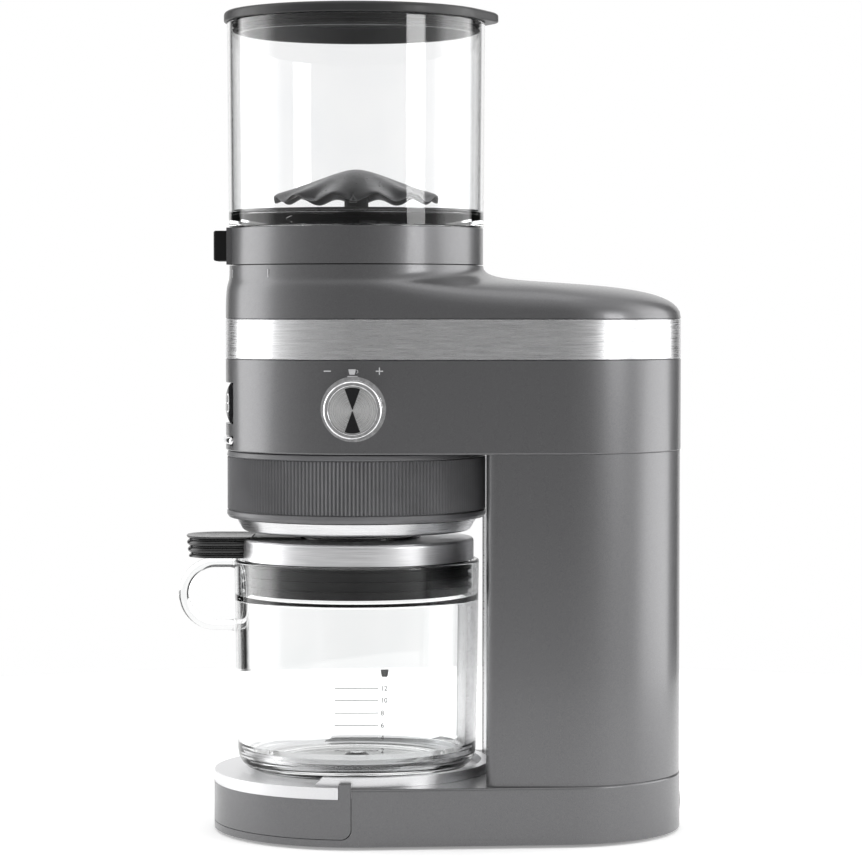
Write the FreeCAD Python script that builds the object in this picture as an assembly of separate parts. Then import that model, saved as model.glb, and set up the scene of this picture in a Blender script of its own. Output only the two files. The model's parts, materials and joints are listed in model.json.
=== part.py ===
import FreeCAD, Part
import math
import os

# A burr coffee grinder, in millimetres. Z is up, -Y is the front and +X is the knob side.
# The origin is on the burr axis, at the level of the counter.

V = FreeCAD.Vector

# ---- Plan of the machine ----
HEAD_R = 65.2            # front curve of the head
BACK_R = 62.5            # back curve of the head and the column
BACK_Y = 99.5            # centre of the head's back curve
BASE_R = 71.5            # front curve of the base
BASE_BACK_R = 64.0       # back curve of the base
BASE_BACK_Y = BACK_Y - 1.5    # centre of the base's back curve
SHELL = 2.5
FIT = 0.3                # gap between loose neighbours
RUN = 0.05               # radial gap of a running fit

# ---- Heights ----
FOOT_H = 1.5
BASE_TOP = 29.5
HEAD_BOTTOM = 190.0
BAND_BOTTOM = 235.2
BAND_TOP = 255.5
COVER_BACK_TOP = 273.0
COLLAR_SEAT = 281.5
COLLAR_BOTTOM = 282.0
COLLAR_TOP = 300.3
HOPPER_TOP = 402.0

# ---- Base and tray ----
BASE_WALL = 3.0
BAY_Y = -1.0             # back face of the tray's bay
BAY_FLOOR = 5.0
BAY_CORNER = 5.0
DECK_Z = 24.2            # what the tray slides on
DECK_T = 3.0
TRAY_TOP = 30.2
TRAY_R = 66.7            # round part of the tray under the jar
TRAY_FRONT_R = 71.3
TRAY_FRONT_Y = -7.4      # where the wide front of the tray ends
TRAY_WALL = 2.0
LIP_IN = 62.5
LIP_H = 4.1
LIP_Y = -15.0            # where the raised lip starts
EAR_H = 1.4              # height of the fascia's ears over the tray
FASCIA_T = 3.0
FOOT_RING_OUT = 62.0
FOOT_RING_IN = 50.0
REAR_FOOT_R = 9.0
REAR_FOOT_X = 36.0
REAR_FOOT_Y = BASE_BACK_Y + 30.0

# ---- Column ----
COLUMN_Y = 64.0          # front corners of the column
COLUMN_CORNER = 5.0
BOARD_Y = BACK_Y + 40.5  # face of the control board
BOARD_T = 1.6
PANEL_HALF = 56.0
PANEL_DEPTH = 6.0        # how far the front panel curves back
PANEL_T = 2.5

# ---- Burr drive ----
SHAFT_R = 5.0
MOTOR_X, MOTOR_Y = 0.0, 112.0
MOTOR_R = 29.0
MOTOR_LENGTH = 84.0
MOTOR_SHAFT_R = 2.0
CASE_FLOOR = 2.5
CASE_WALL = 2.5
CASE_LEFT, CASE_RIGHT = -47.5, 41.0
CASE_START, CASE_STEP, CASE_END = 25.0, 51.0, 128.0
CASE_ROUND_R = 37.5
GEAR_LOW = 197.0         # underside of the slow gears
GEAR_W = 9.0
WHEEL_LOW = 210.5        # underside of the fast wheel
WHEEL_W = 7.0
CASE_ROOF = 207.5
CASE_TOP = 220.5
COVER_T = 2.0
PIN_R = 2.5
SLOW_MODULE = 1.0
FAST_MODULE = 0.8
BURR_TEETH = 64
IDLER_TEETH = 56
SMALL_TEETH = 14
WHEEL_TEETH = 60
PINION_TEETH = 12
IDLER_X = -14.0          # the idler's offset to the left of the burr axis
PRESSURE = math.radians(20.0)
BACKLASH = 0.16

# ---- Grinding chamber, carrier and ring ----
CHAMBER_R = 46.0
CHAMBER_WALL = 2.5
CHAMBER_FLOOR_T = 2.5
CHAMBER_TOP = 233.0
CARRIER_LOW = 220.0
CARRIER_FLANGE = 234.5
CARRIER_T = 3.0
RING_BURR_R = 28.0
RING_BURR_LOW = 218.0
RING_BURR_TOP = 240.0
CONE_LOW = 216.0
CONE_TOP = 244.0
LEG_IN, LEG_OUT = 50.5, 53.5
LEG_HALF = 4.0           # half of a leg's angle in degrees
LEG_ANGLES = (-90.0, 20.0, 160.0)
SKIRT_LOW, SKIRT_HIGH = 172.0, 184.0
SLEEVE_R = 54.3
RING_R = 64.75
RING_LOW = 156.5
RING_TOP = 189.7
RING_RIB_R = 64.2
RIB_LOW, RIB_HIGH = 160.3, 187.0
NECK_IN, NECK_OUT = 47.5, 50.0
CHUTE_HALF = 30.0
CHUTE_IN = 39.0
DISH_LOW = 149.7
DISH_TOP = 155.9
DISH_R = 60.0
MOUTH_R = 15.0

# ---- Hopper ----
COLLAR_R = 63.25
COLLAR_T = 2.25
COVER_OPENING = 54.0
SPIGOT_R = 52.5
SPIGOT_LOW = 268.5
LUG_R = 56.5
LUG_H = 3.5
LUG_HALF = 9.0
LUG_ANGLES = (90.0, 210.0, 330.0)
HOPPER_TURN = 32.0       # from locked to the entry notches
FEED_R = 23.5
FEED_LOW = 243.0
FEED_TOP = 266.0
THROAT_R = 20.5
THROAT_LOW = 267.0
GLASS_LOW_R = 63.5
GLASS_TOP_R = 64.25
GLASS_T = 2.2
GUARD_R = 42.0
GUARD_RIM = 310.0
GUARD_TOP = 330.0
LID_R = 65.75
LID_FLANGE = 5.0
LID_TOP = HOPPER_TOP + FIT + LID_FLANGE
LID_PLUG_R = 59.0
LID_PLUG_H = 5.8
LID_TAB_Y = 70.8
LID_TAB_HALF = 15.0
BUTTON_HALF = 13.0
BUTTON_FRONT = -70.5
BUTTON_BACK = -63.5
BUTTON_LOW, BUTTON_HIGH = 283.8, 298.8
STEM_HALF = 6.0
STEM_LOW, STEM_HIGH = 285.3, 290.3
FRAME_FRONT = -64.0
FRAME_T = 1.5

# ---- Front and side controls ----
CONTROL_Z = 212.0        # height of the knob's axis
KNOB_R = 13.9
KNOB_BACK = 67.4
KNOB_FACE = 83.5
KNOB_WALL = 2.6
BEZEL_R = 15.7
BEZEL_FACE = 66.0
ENCODER_R = 3.0
ENCODER_BACK = 50.0
DISPLAY_HALF = 25.0
DISPLAY_LOW, DISPLAY_HIGH = 203.5, 223.5
DISPLAY_PROUD = 0.2
START_LOW, START_HIGH = 192.9, 197.1
START_PROUD = 1.4

# ---- Jar ----
JAR_LOW = 30.5
JAR_TOP = 135.2
JAR_TOP_R = 61.3
JAR_LOW_R = 59.6
JAR_WALL = 3.0
JAR_FLOOR = 5.0
JAR_CORNER = 11.0
HANDLE_R = 2.65
HANDLE_BEND = 15.8
HANDLE_Z = 117.5
HANDLE_Y = -70.8
JAR_LID_R = 58.6
JAR_LID_TOP = 146.0
JAR_LID_T = 1.2
JAR_PLUG_R = 56.0
JAR_PLUG_LOW = 119.0
JAR_HOLE_R = 24.0
TAB_HALF = 20.0
TAB_FRONT = -85.0
TAB_LOW = 136.6
LEVER_R = 32.0
LEVER_T = 1.2


# ---------------------------------------------------------------- shape helpers

def tube(r_out, r_in, z0, z1, x=0.0, y=0.0):
    """An upright cylinder, hollow where r_in is above zero."""
    solid = Part.makeCylinder(r_out, z1 - z0, V(x, y, z0))
    if r_in > 0:
        solid = solid.cut(Part.makeCylinder(r_in, z1 - z0 + 2, V(x, y, z0 - 1)))
    return solid


def block(x0, x1, y0, y1, z0, z1):
    return Part.makeBox(x1 - x0, y1 - y0, z1 - z0, V(x0, y0, z0))


def rod_x(radius, x0, x1, z=CONTROL_Z):
    return Part.makeCylinder(radius, x1 - x0, V(x0, 0, z), V(1, 0, 0))


def rod_y(radius, x, y0, y1, z):
    return Part.makeCylinder(radius, y1 - y0, V(x, y0, z), V(0, 1, 0))


def sector(r_out, r_in, z0, z1, middle, half):
    """A piece of an upright tube, half degrees each side of the middle angle."""
    solid = Part.makeCylinder(r_out, z1 - z0, V(0, 0, z0), V(0, 0, 1), 2 * half)
    solid = solid.cut(Part.makeCylinder(r_in, z1 - z0 + 2, V(0, 0, z0 - 1)))
    solid.rotate(V(0, 0, 0), V(0, 0, 1), middle - half)
    return solid


def rounded_face(corners, place):
    """A face whose corners are (u, v) or (u, v, radius); place turns (u, v) into a point."""
    edges = []
    ends = []
    count = len(corners)
    for i, corner in enumerate(corners):
        here = FreeCAD.Vector(corner[0], corner[1], 0)
        if len(corner) < 3:
            ends.append((here, here, None))
            continue
        before = FreeCAD.Vector(corners[i - 1][0], corners[i - 1][1], 0)
        after = FreeCAD.Vector(corners[(i + 1) % count][0], corners[(i + 1) % count][1], 0)
        a = (before - here).normalize()
        b = (after - here).normalize()
        half = a.getAngle(b) / 2
        reach = corner[2] / math.tan(half)
        middle = here + (a + b).normalize() * (corner[2] / math.sin(half) - corner[2])
        ends.append((here + a * reach, here + b * reach, middle))
    for i, (start, end, middle) in enumerate(ends):
        if middle is not None:
            edges.append(Part.Arc(place(start), place(middle), place(end)).toShape())
        following = ends[(i + 1) % count][0]
        if (following - end).Length > 1e-6:
            edges.append(Part.LineSegment(place(end), place(following)).toShape())
    return Part.Face(Part.Wire(edges))


def lathe(*corners):
    """A solid turned about the burr axis from (radius, height[, corner radius]) points."""
    face = rounded_face(corners, lambda p: V(p.x, 0, p.y))
    return face.revolve(V(0, 0, 0), V(0, 0, 1), 360)


def plate(corners, z0, z1):
    """A flat plate from (x, y[, corner radius]) points."""
    face = rounded_face(corners, lambda p: V(p.x, p.y, z0))
    return face.extrude(V(0, 0, z1 - z0))


def stadium(front_r, back_r, back_y, z0, z1):
    """Two round ends joined by tangent sides: the plan of the head and of the base."""
    lean = math.asin((front_r - back_r) / back_y)
    c, s = math.cos(lean), math.sin(lean)
    front_right, front_left = V(front_r * c, front_r * s, z0), V(-front_r * c, front_r * s, z0)
    back_right = V(back_r * c, back_y + back_r * s, z0)
    back_left = V(-back_r * c, back_y + back_r * s, z0)
    edges = [
        Part.Arc(front_left, V(0, -front_r, z0), front_right).toShape(),
        Part.LineSegment(front_right, back_right).toShape(),
        Part.Arc(back_right, V(0, back_y + back_r, z0), back_left).toShape(),
        Part.LineSegment(back_left, front_left).toShape(),
    ]
    return Part.Face(Part.Wire(edges)).extrude(V(0, 0, z1 - z0))


def head_plan(inset, z0, z1):
    return stadium(HEAD_R - inset, BACK_R - inset, BACK_Y, z0, z1)


def base_plan(inset, z0, z1):
    return stadium(BASE_R - inset, BASE_BACK_R - inset, BASE_BACK_Y, z0, z1)


def edges_at(solid, z):
    """The level edges of a solid at one height."""
    return [e for e in solid.Edges
            if abs(e.BoundBox.ZMin - z) < 1e-3 and abs(e.BoundBox.ZMax - z) < 1e-3]


def fuse(first, *others):
    """One solid from several that touch or overlap."""
    return first.fuse(list(others)).removeSplitter()


def ends_in_front(solid, y):
    """What lies at smaller Y than the given plane."""
    return solid.common(block(-200, 200, -200, y, -10, 500))


def ends_behind(solid, y):
    return solid.common(block(-200, 200, y, 300, -10, 500))


# ---------------------------------------------------------------- gears

def involute(angle):
    return math.tan(angle) - angle


def tooth_half_angle(radius, teeth, module):
    """Half of a tooth's angle at a radius, on the involute or just inside its base circle."""
    pitch_r = teeth * module / 2
    base_r = pitch_r * math.cos(PRESSURE)
    at_pitch = (math.pi / 2 - BACKLASH / module) / teeth
    local = math.acos(min(1.0, base_r / max(radius, base_r)))
    undercut = 0.82 if radius < base_r else 1.0
    return (at_pitch + involute(PRESSURE) - involute(local)) * undercut


def gear(teeth, module, z0, z1, x, y, phase):
    """A spur gear; phase is the angle in degrees of the middle of one tooth."""
    pitch_r = teeth * module / 2
    root_r = pitch_r - 1.25 * module
    tip_r = pitch_r + 0.92 * module
    flank = [root_r, pitch_r - 0.55 * module, pitch_r, pitch_r + 0.5 * module, tip_r]
    points = []
    for tooth in range(teeth):
        middle = math.radians(phase) + 2 * math.pi * tooth / teeth
        halves = [(r, tooth_half_angle(r, teeth, module)) for r in flank]
        for r, half in halves:
            points.append(V(r * math.cos(middle - half), r * math.sin(middle - half), 0))
        for r, half in reversed(halves):
            points.append(V(r * math.cos(middle + half), r * math.sin(middle + half), 0))
    points.append(points[0])
    solid = Part.Face(Part.makePolygon(points)).extrude(V(0, 0, z1 - z0))
    solid.translate(V(x, y, z0))
    return solid


def meshing_phase(phase, teeth, direction, other_teeth):
    """The phase that puts a neighbour, seen in a direction, tooth into gap."""
    pitches = (phase - direction) * teeth / 360.0
    return direction + 180.0 + (0.5 - pitches) * 360.0 / other_teeth


def heading(x0, y0, x1, y1):
    return math.degrees(math.atan2(y1 - y0, x1 - x0))


def third_corner(x0, y0, r0, x1, y1, r1):
    """The point to the right of the line from 0 to 1 that lies r0 from one and r1 from the other."""
    span = math.hypot(x1 - x0, y1 - y0)
    along = (r0 ** 2 - r1 ** 2 + span ** 2) / (2 * span)
    across = math.sqrt(r0 ** 2 - along ** 2)
    ux, uy = (x1 - x0) / span, (y1 - y0) / span
    return x0 + along * ux + across * uy, y0 + along * uy - across * ux


SLOW_CENTRES = (BURR_TEETH + IDLER_TEETH) * SLOW_MODULE / 2
MIDDLE_CENTRES = (IDLER_TEETH + SMALL_TEETH) * SLOW_MODULE / 2
FAST_CENTRES = (WHEEL_TEETH + PINION_TEETH) * FAST_MODULE / 2
IDLER_Y = math.sqrt(SLOW_CENTRES ** 2 - IDLER_X ** 2)
COMPOUND_X, COMPOUND_Y = third_corner(IDLER_X, IDLER_Y, MIDDLE_CENTRES,
                                      MOTOR_X, MOTOR_Y, FAST_CENTRES)
TO_IDLER = heading(0, 0, IDLER_X, IDLER_Y)
TO_COMPOUND = heading(IDLER_X, IDLER_Y, COMPOUND_X, COMPOUND_Y)
TO_MOTOR = heading(COMPOUND_X, COMPOUND_Y, MOTOR_X, MOTOR_Y)
BURR_PHASE = TO_IDLER
IDLER_PHASE = meshing_phase(BURR_PHASE, BURR_TEETH, TO_IDLER, IDLER_TEETH)
SMALL_PHASE = meshing_phase(IDLER_PHASE, IDLER_TEETH, TO_COMPOUND, SMALL_TEETH)
WHEEL_PHASE = TO_MOTOR
PINION_PHASE = meshing_phase(WHEEL_PHASE, WHEEL_TEETH, TO_MOTOR, PINION_TEETH)


# ---------------------------------------------------------------- base and tray

def bay_tool(inset):
    """The space of the tray's front, with rounded lower back corners."""
    y, z = BAY_Y - inset, BAY_FLOOR + inset
    solid = block(-200, 200, -200, y, z, 100)
    edge = [e for e in solid.Edges
            if abs(e.BoundBox.YMin - y) < 1e-3 and abs(e.BoundBox.ZMax - z) < 1e-3]
    return solid.makeFillet(BAY_CORNER, edge)


def screw_places():
    return [(sx * 30.0, y) for sx in (-1, 1) for y in (88.0, 146.0)]


def make_base_shell():
    outer = base_plan(0, FOOT_H, BASE_TOP)
    outer = outer.makeFillet(1.2, edges_at(outer, BASE_TOP))
    cavity = ends_behind(base_plan(BASE_WALL, -1, DECK_Z - DECK_T), BAY_Y + BASE_WALL)
    shell = outer.cut(cavity).cut(bay_tool(0))
    shell = shell.cut(tube(TRAY_R + FIT, 0, DECK_Z, 60))
    bosses = [tube(4.0, 0, FOOT_H + 2.2, DECK_Z - DECK_T + 0.5, x, y) for x, y in screw_places()]
    shell = fuse(shell, *bosses)
    for x, y in screw_places():
        shell = shell.cut(tube(1.5, 0, 0, 14, x, y))
    wiring = tube(12, 0, DECK_Z - DECK_T - 1, 60, 0, 118)
    wall_y = BASE_BACK_Y + BASE_BACK_R
    return shell.cut(wiring).cut(rod_y(6.0 + FIT, 0, wall_y - 10, wall_y + 10, 14.0))


def make_base_plate():
    cover = ends_behind(base_plan(BASE_WALL + 0.1, FOOT_H, FOOT_H + 2.2), BAY_Y + BASE_WALL + 0.1)
    for x, y in screw_places():
        cover = cover.cut(tube(1.6, 0, 0, 10, x, y)).cut(tube(3.2, 0, 0, FOOT_H + 0.8, x, y))
    return cover


def make_base_screws():
    screws = []
    for x, y in screw_places():
        head = tube(3.0, 0, FOOT_H + 0.2, FOOT_H + 0.8, x, y)
        screws.append(fuse(head, tube(1.45, 0, FOOT_H + 0.5, 13.0, x, y)))
    return Part.makeCompound(screws)


def make_feet():
    ring = tube(FOOT_RING_OUT, FOOT_RING_IN, 0, FOOT_H)
    pads = [tube(REAR_FOOT_R, 0, 0, FOOT_H, s * REAR_FOOT_X, REAR_FOOT_Y) for s in (-1, 1)]
    return Part.makeCompound([ring] + pads)


def make_cord_gland():
    wall_y = BASE_BACK_Y + BASE_BACK_R
    body = rod_y(6.0, 0, wall_y - 7.0, wall_y - 0.1, 14.0)
    flange = rod_y(6.9, 0, wall_y - 7.0, wall_y - BASE_WALL - 1.0, 14.0)
    return fuse(body, flange).cut(rod_y(3.2, 0, 100, 200, 14.0))


def make_tray_plate():
    front = ends_in_front(tube(TRAY_FRONT_R, 0, DECK_Z + FIT, TRAY_TOP), TRAY_FRONT_Y)
    disc = fuse(tube(TRAY_R, 0, DECK_Z + FIT, TRAY_TOP), front)
    lip = tube(TRAY_R - 0.2, LIP_IN, TRAY_TOP - 1, TRAY_TOP + LIP_H)
    ramp_face = Part.makePolygon([
        V(-100, LIP_Y - LIP_H - 1, TRAY_TOP - 1), V(-100, LIP_Y, TRAY_TOP + LIP_H),
        V(-100, 100, TRAY_TOP + LIP_H), V(-100, 100, TRAY_TOP - 1),
        V(-100, LIP_Y - LIP_H - 1, TRAY_TOP - 1)])
    lip = lip.common(Part.Face(ramp_face).extrude(V(200, 0, 0)))
    hollow = tube(TRAY_R - 6.0, 0, DECK_Z, TRAY_TOP - TRAY_WALL)
    return fuse(disc, lip).cut(hollow)


def make_tray_fascia():
    low, high = BAY_FLOOR + FIT, DECK_Z + FIT
    wall = tube(BASE_R, BASE_R - FASCIA_T, low, high)
    flange = tube(BASE_R - FASCIA_T, TRAY_R - 2.0, high - 2.0, high)
    front = fuse(wall, flange).common(bay_tool(FIT))
    ears = tube(BASE_R, TRAY_R + FIT, high - 2.0, TRAY_TOP + EAR_H).common(bay_tool(FIT))
    ears = ends_behind(ears, TRAY_FRONT_Y + FIT)
    return fuse(front, ears)


# ---------------------------------------------------------------- column

def panel_arc(half, shift, z):
    """The front panel's curve in plan, moved back by shift."""
    middle_y = COLUMN_Y + 0.3 + PANEL_DEPTH
    return Part.Arc(V(-half, COLUMN_Y + 0.3 + shift, z), V(0, middle_y + shift, z),
                    V(half, COLUMN_Y + 0.3 + shift, z))


def column_plan(inset, z0, z1):
    body = ends_behind(head_plan(FIT + inset, z0, z1), COLUMN_Y + inset)
    corners = [e for e in body.Edges if e.BoundBox.ZLength > z1 - z0 - 1e-3
               and e.BoundBox.YMax < COLUMN_Y + inset + 1e-3]
    return body.makeFillet(max(COLUMN_CORNER - inset, 1.0), corners)


def make_column_shell():
    shell = column_plan(0, BASE_TOP, HEAD_BOTTOM).cut(column_plan(SHELL, BASE_TOP - 1, HEAD_BOTTOM + 1))
    window = block(-PANEL_HALF, PANEL_HALF, COLUMN_Y - 1, COLUMN_Y + 12, BASE_TOP - 1, HEAD_BOTTOM + 1)
    shell = shell.cut(window)
    posts = [block(sx * 38 - 3, sx * 38 + 3, BOARD_Y + BOARD_T, BOARD_Y + 12, z, z + 6) for sx in (-1, 1) for z in (45, 85)]
    posts = [post.common(column_plan(1.0, BASE_TOP, HEAD_BOTTOM)) for post in posts]
    return fuse(shell, *posts)


def make_front_panel():
    z0 = BASE_TOP
    front, back = panel_arc(PANEL_HALF, 0, z0), panel_arc(PANEL_HALF, PANEL_T, z0)
    left = Part.LineSegment(V(-PANEL_HALF, COLUMN_Y + 0.3, z0),
                            V(-PANEL_HALF, COLUMN_Y + 0.3 + PANEL_T, z0))
    right = Part.LineSegment(V(PANEL_HALF, COLUMN_Y + 0.3, z0),
                             V(PANEL_HALF, COLUMN_Y + 0.3 + PANEL_T, z0))
    wire = Part.Wire(Part.__sortEdges__([c.toShape() for c in (front, right, back, left)]))
    return Part.Face(wire).extrude(V(0, 0, HEAD_BOTTOM - z0))


def make_control_board():
    board = block(-41, 41, BOARD_Y, BOARD_Y + BOARD_T, 36, 98)
    transformer = block(-30, -4, BOARD_Y - 22, BOARD_Y, 44, 70)
    relay = block(6, 26, BOARD_Y - 14, BOARD_Y, 44, 58)
    capacitor = rod_y(8, 18, BOARD_Y - 22, BOARD_Y, 80)
    return fuse(board, transformer, relay, capacitor)


# ---------------------------------------------------------------- head

def leg_slots(z0, z1):
    return [sector(LEG_OUT + 1, LEG_IN - 1, z0, z1, a, LEG_HALF + 2) for a in LEG_ANGLES]


def make_head_lower_shell():
    shell = head_plan(0, HEAD_BOTTOM, BAND_BOTTOM)
    shell = shell.makeFillet(0.8, edges_at(shell, HEAD_BOTTOM))
    shell = shell.cut(head_plan(SHELL, HEAD_BOTTOM + SHELL, BAND_BOTTOM + 1))
    cuts = leg_slots(HEAD_BOTTOM - 1, HEAD_BOTTOM + SHELL + 1)
    cuts.append(sector(NECK_IN, CASE_ROUND_R, HEAD_BOTTOM - 1, HEAD_BOTTOM + 3, -90, CHUTE_HALF + 3))
    cuts.append(tube(MOTOR_R + 0.5, 0, HEAD_BOTTOM - 1, HEAD_BOTTOM + 4, MOTOR_X, MOTOR_Y))
    cuts.append(rod_x(BEZEL_R + RUN, 55, 80))
    cuts.append(block(-DISPLAY_HALF - 0.2, DISPLAY_HALF + 0.2, -80, -40,
                      DISPLAY_LOW - 0.2, DISPLAY_HIGH + 0.2))
    cuts.append(block(-DISPLAY_HALF - 0.1, DISPLAY_HALF + 0.1, -80, -40,
                      START_LOW - 0.3, START_HIGH + 0.3))
    for cut in cuts:
        shell = shell.cut(cut)
    return shell


def make_trim_band():
    band = head_plan(0, BAND_BOTTOM, BAND_TOP)
    rims = edges_at(band, BAND_BOTTOM) + edges_at(band, BAND_TOP)
    return band.makeChamfer(0.7, rims).cut(head_plan(SHELL, BAND_BOTTOM - 1, BAND_TOP + 1))


def make_head_top_cover():
    back = head_plan(0, BAND_TOP, COVER_BACK_TOP)
    back = back.makeFillet(14.0, edges_at(back, COVER_BACK_TOP))
    rise = Part.makeCone(HEAD_R - 0.1, COLLAR_R, COLLAR_SEAT - BAND_TOP, V(0, 0, BAND_TOP))
    inside = head_plan(SHELL, BAND_TOP - 1, COVER_BACK_TOP - SHELL)
    inside = inside.makeFillet(11.5, edges_at(inside, COVER_BACK_TOP - SHELL))
    room = tube(COLLAR_R - SHELL, 0, BAND_TOP - 1, COLLAR_SEAT - SHELL)
    return fuse(back, rise).cut(inside).cut(room).cut(tube(COVER_OPENING, 0, 200, 300))


def make_bayonet_feed_ring():
    top = COLLAR_SEAT - SHELL
    groove_top = SPIGOT_LOW + LUG_H + 0.4
    ring = tube(COLLAR_R - SHELL - 0.25, COVER_OPENING, FEED_TOP, top)
    ring = ring.cut(tube(LUG_R + 0.5, 0, SPIGOT_LOW - 0.8, groove_top))
    for angle in LUG_ANGLES:
        notch = sector(LUG_R + 0.5, COVER_OPENING - 1, groove_top - 1, top + 1,
                       angle + HOPPER_TURN, LUG_HALF + 2)
        ring = ring.cut(notch)
    flange = tube(COLLAR_R - SHELL - 0.25, FEED_R, FEED_TOP - 2, FEED_TOP)
    return fuse(ring, flange, tube(FEED_R + 2, FEED_R, FEED_LOW, FEED_TOP))


def make_display_lens():
    ring = tube(HEAD_R + DISPLAY_PROUD, HEAD_R - 2.0, DISPLAY_LOW, DISPLAY_HIGH)
    return ring.common(block(-DISPLAY_HALF, DISPLAY_HALF, -80, 0, 100, 300))


def make_display_board():
    board = block(-20, 20, -58.6, -57.0, 193.5, 230)
    return fuse(board, block(-16, 16, -60.4, -58.6, 206.5, 220.5))


def make_start_button():
    bar = tube(HEAD_R + START_PROUD, HEAD_R - 1.8, START_LOW, START_HIGH)
    bar = bar.common(block(-DISPLAY_HALF + 0.2, DISPLAY_HALF - 0.2, -80, 0, 100, 300))
    return fuse(bar, block(-4, 4, -HEAD_R + 1.0, -59.9, START_LOW + 0.5, START_HIGH - 0.5))


# ---------------------------------------------------------------- knob

def make_knob_bezel():
    return rod_x(BEZEL_R, HEAD_R - SHELL + 0.2, BEZEL_FACE).cut(rod_x(ENCODER_R + FIT, 50, 90))


def make_encoder_case():
    body = block(ENCODER_BACK, HEAD_R - SHELL - 0.5, -6.5, 6.5, CONTROL_Z - 6.5, CONTROL_Z + 6.5)
    return body.cut(rod_x(5.05, ENCODER_BACK + 1.5, 70))


def make_encoder_plunger():
    return rod_x(5.0, 54.0, 61.0).cut(rod_x(ENCODER_R + RUN, 50, 70))


def make_encoder_shaft():
    return rod_x(ENCODER_R, 53.2, KNOB_FACE - 3.5)


def make_knob_body():
    body = rod_x(KNOB_R, KNOB_BACK, KNOB_FACE)
    rims = [e for e in body.Edges if e.BoundBox.XMin > KNOB_FACE - 1e-3]
    body = body.makeFillet(0.6, rims)
    body = body.cut(rod_x(KNOB_R - KNOB_WALL, KNOB_BACK - 1, KNOB_FACE - 3.5))
    body = body.cut(rod_x(KNOB_R - KNOB_WALL, KNOB_FACE - 1.2, KNOB_FACE + 1))
    boss = rod_x(5.5, KNOB_BACK, KNOB_FACE - 3.0)
    return fuse(body, boss).cut(rod_x(ENCODER_R + 0.02, KNOB_BACK - 1, KNOB_FACE - 3.5))


def make_knob_face():
    return rod_x(KNOB_R - KNOB_WALL - 0.05, KNOB_FACE - 1.2, KNOB_FACE - 0.4)


# ---------------------------------------------------------------- gear case and motor

def case_prism(inset, z0, z1, start=CASE_START):
    return block(CASE_LEFT + inset, CASE_RIGHT - inset, start + inset, CASE_END - inset, z0, z1)


def case_screw_places():
    return [(x, y) for x in (CASE_LEFT + 4.5, CASE_RIGHT - 4.5) for y in (CASE_STEP + 4.5, CASE_END - 4.5)]


def motor_screw_places():
    return [(MOTOR_X - 17, MOTOR_Y), (MOTOR_X + 17, MOTOR_Y)]


def make_gear_case():
    low = HEAD_BOTTOM + SHELL
    outer = fuse(tube(CASE_ROUND_R, 0, low, CASE_ROOF), case_prism(0, low, CASE_ROOF + 2.5),
                 case_prism(0, low, CASE_TOP, CASE_STEP))
    inner = fuse(tube(CASE_ROUND_R - CASE_WALL, 0, low + CASE_FLOOR, CASE_ROOF + 1),
                 case_prism(CASE_WALL, low + CASE_FLOOR, CASE_ROOF),
                 case_prism(CASE_WALL, low + CASE_FLOOR, CASE_TOP + 1, CASE_STEP))
    case = outer.cut(inner).cut(tube(CHAMBER_R + CHAMBER_WALL + FIT, 0, CASE_ROOF, CASE_TOP))
    bosses = [block(x - 4.4, x + 4.4, y - 4.4, y + 4.4, CASE_TOP - 12, CASE_TOP)
              for x, y in case_screw_places()]
    case = fuse(case, *bosses)
    case = case.cut(tube(8.0, 0, low - 1, low + 5))
    for x, y in ((IDLER_X, IDLER_Y), (COMPOUND_X, COMPOUND_Y)):
        case = case.cut(tube(PIN_R, 0, low + 1, low + 5, x, y))
    case = case.cut(tube(MOTOR_SHAFT_R + 1.5, 0, low - 1, low + 5, MOTOR_X, MOTOR_Y))
    for x, y in motor_screw_places():
        case = case.cut(tube(1.6, 0, low - 1, low + 5, x, y))
    for x, y in case_screw_places():
        case = case.cut(tube(1.5, 0, CASE_TOP - 9, CASE_TOP + 1, x, y))
    return case


def make_gear_case_cover():
    lid = case_prism(0, CASE_TOP, CASE_TOP + COVER_T, CASE_STEP)
    for x, y in ((IDLER_X, IDLER_Y), (COMPOUND_X, COMPOUND_Y)):
        lid = lid.cut(tube(PIN_R, 0, CASE_TOP - 1, CASE_TOP + 1, x, y))
    for x, y in case_screw_places():
        lid = lid.cut(tube(1.6, 0, CASE_TOP - 1, CASE_TOP + 5, x, y))
    return lid


def make_gear_case_screws():
    top = CASE_TOP + COVER_T
    screws = [fuse(tube(3.0, 0, top, top + 2, x, y), tube(1.45, 0, top - 10, top + 1, x, y))
              for x, y in case_screw_places()]
    floor = HEAD_BOTTOM + SHELL + CASE_FLOOR
    screws += [fuse(tube(2.8, 0, floor, floor + 1.6, x, y), tube(1.45, 0, floor - 9, floor + 1, x, y))
               for x, y in motor_screw_places()]
    return Part.makeCompound(screws)


def make_gear_pins():
    low, high = HEAD_BOTTOM + SHELL + 1, CASE_TOP + 1
    return Part.makeCompound([tube(PIN_R, 0, low, high, IDLER_X, IDLER_Y),
                              tube(PIN_R, 0, low, high, COMPOUND_X, COMPOUND_Y)])


def make_idler_gear():
    body = gear(IDLER_TEETH, SLOW_MODULE, GEAR_LOW, GEAR_LOW + GEAR_W, IDLER_X, IDLER_Y, IDLER_PHASE)
    body = body.cut(tube(23, 7, GEAR_LOW + 4, GEAR_LOW + 20, IDLER_X, IDLER_Y))
    hub = tube(6, 0, HEAD_BOTTOM + SHELL + CASE_FLOOR + FIT, GEAR_LOW + 1, IDLER_X, IDLER_Y)
    return fuse(body, hub).cut(tube(PIN_R + RUN, 0, 180, 230, IDLER_X, IDLER_Y))


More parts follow.
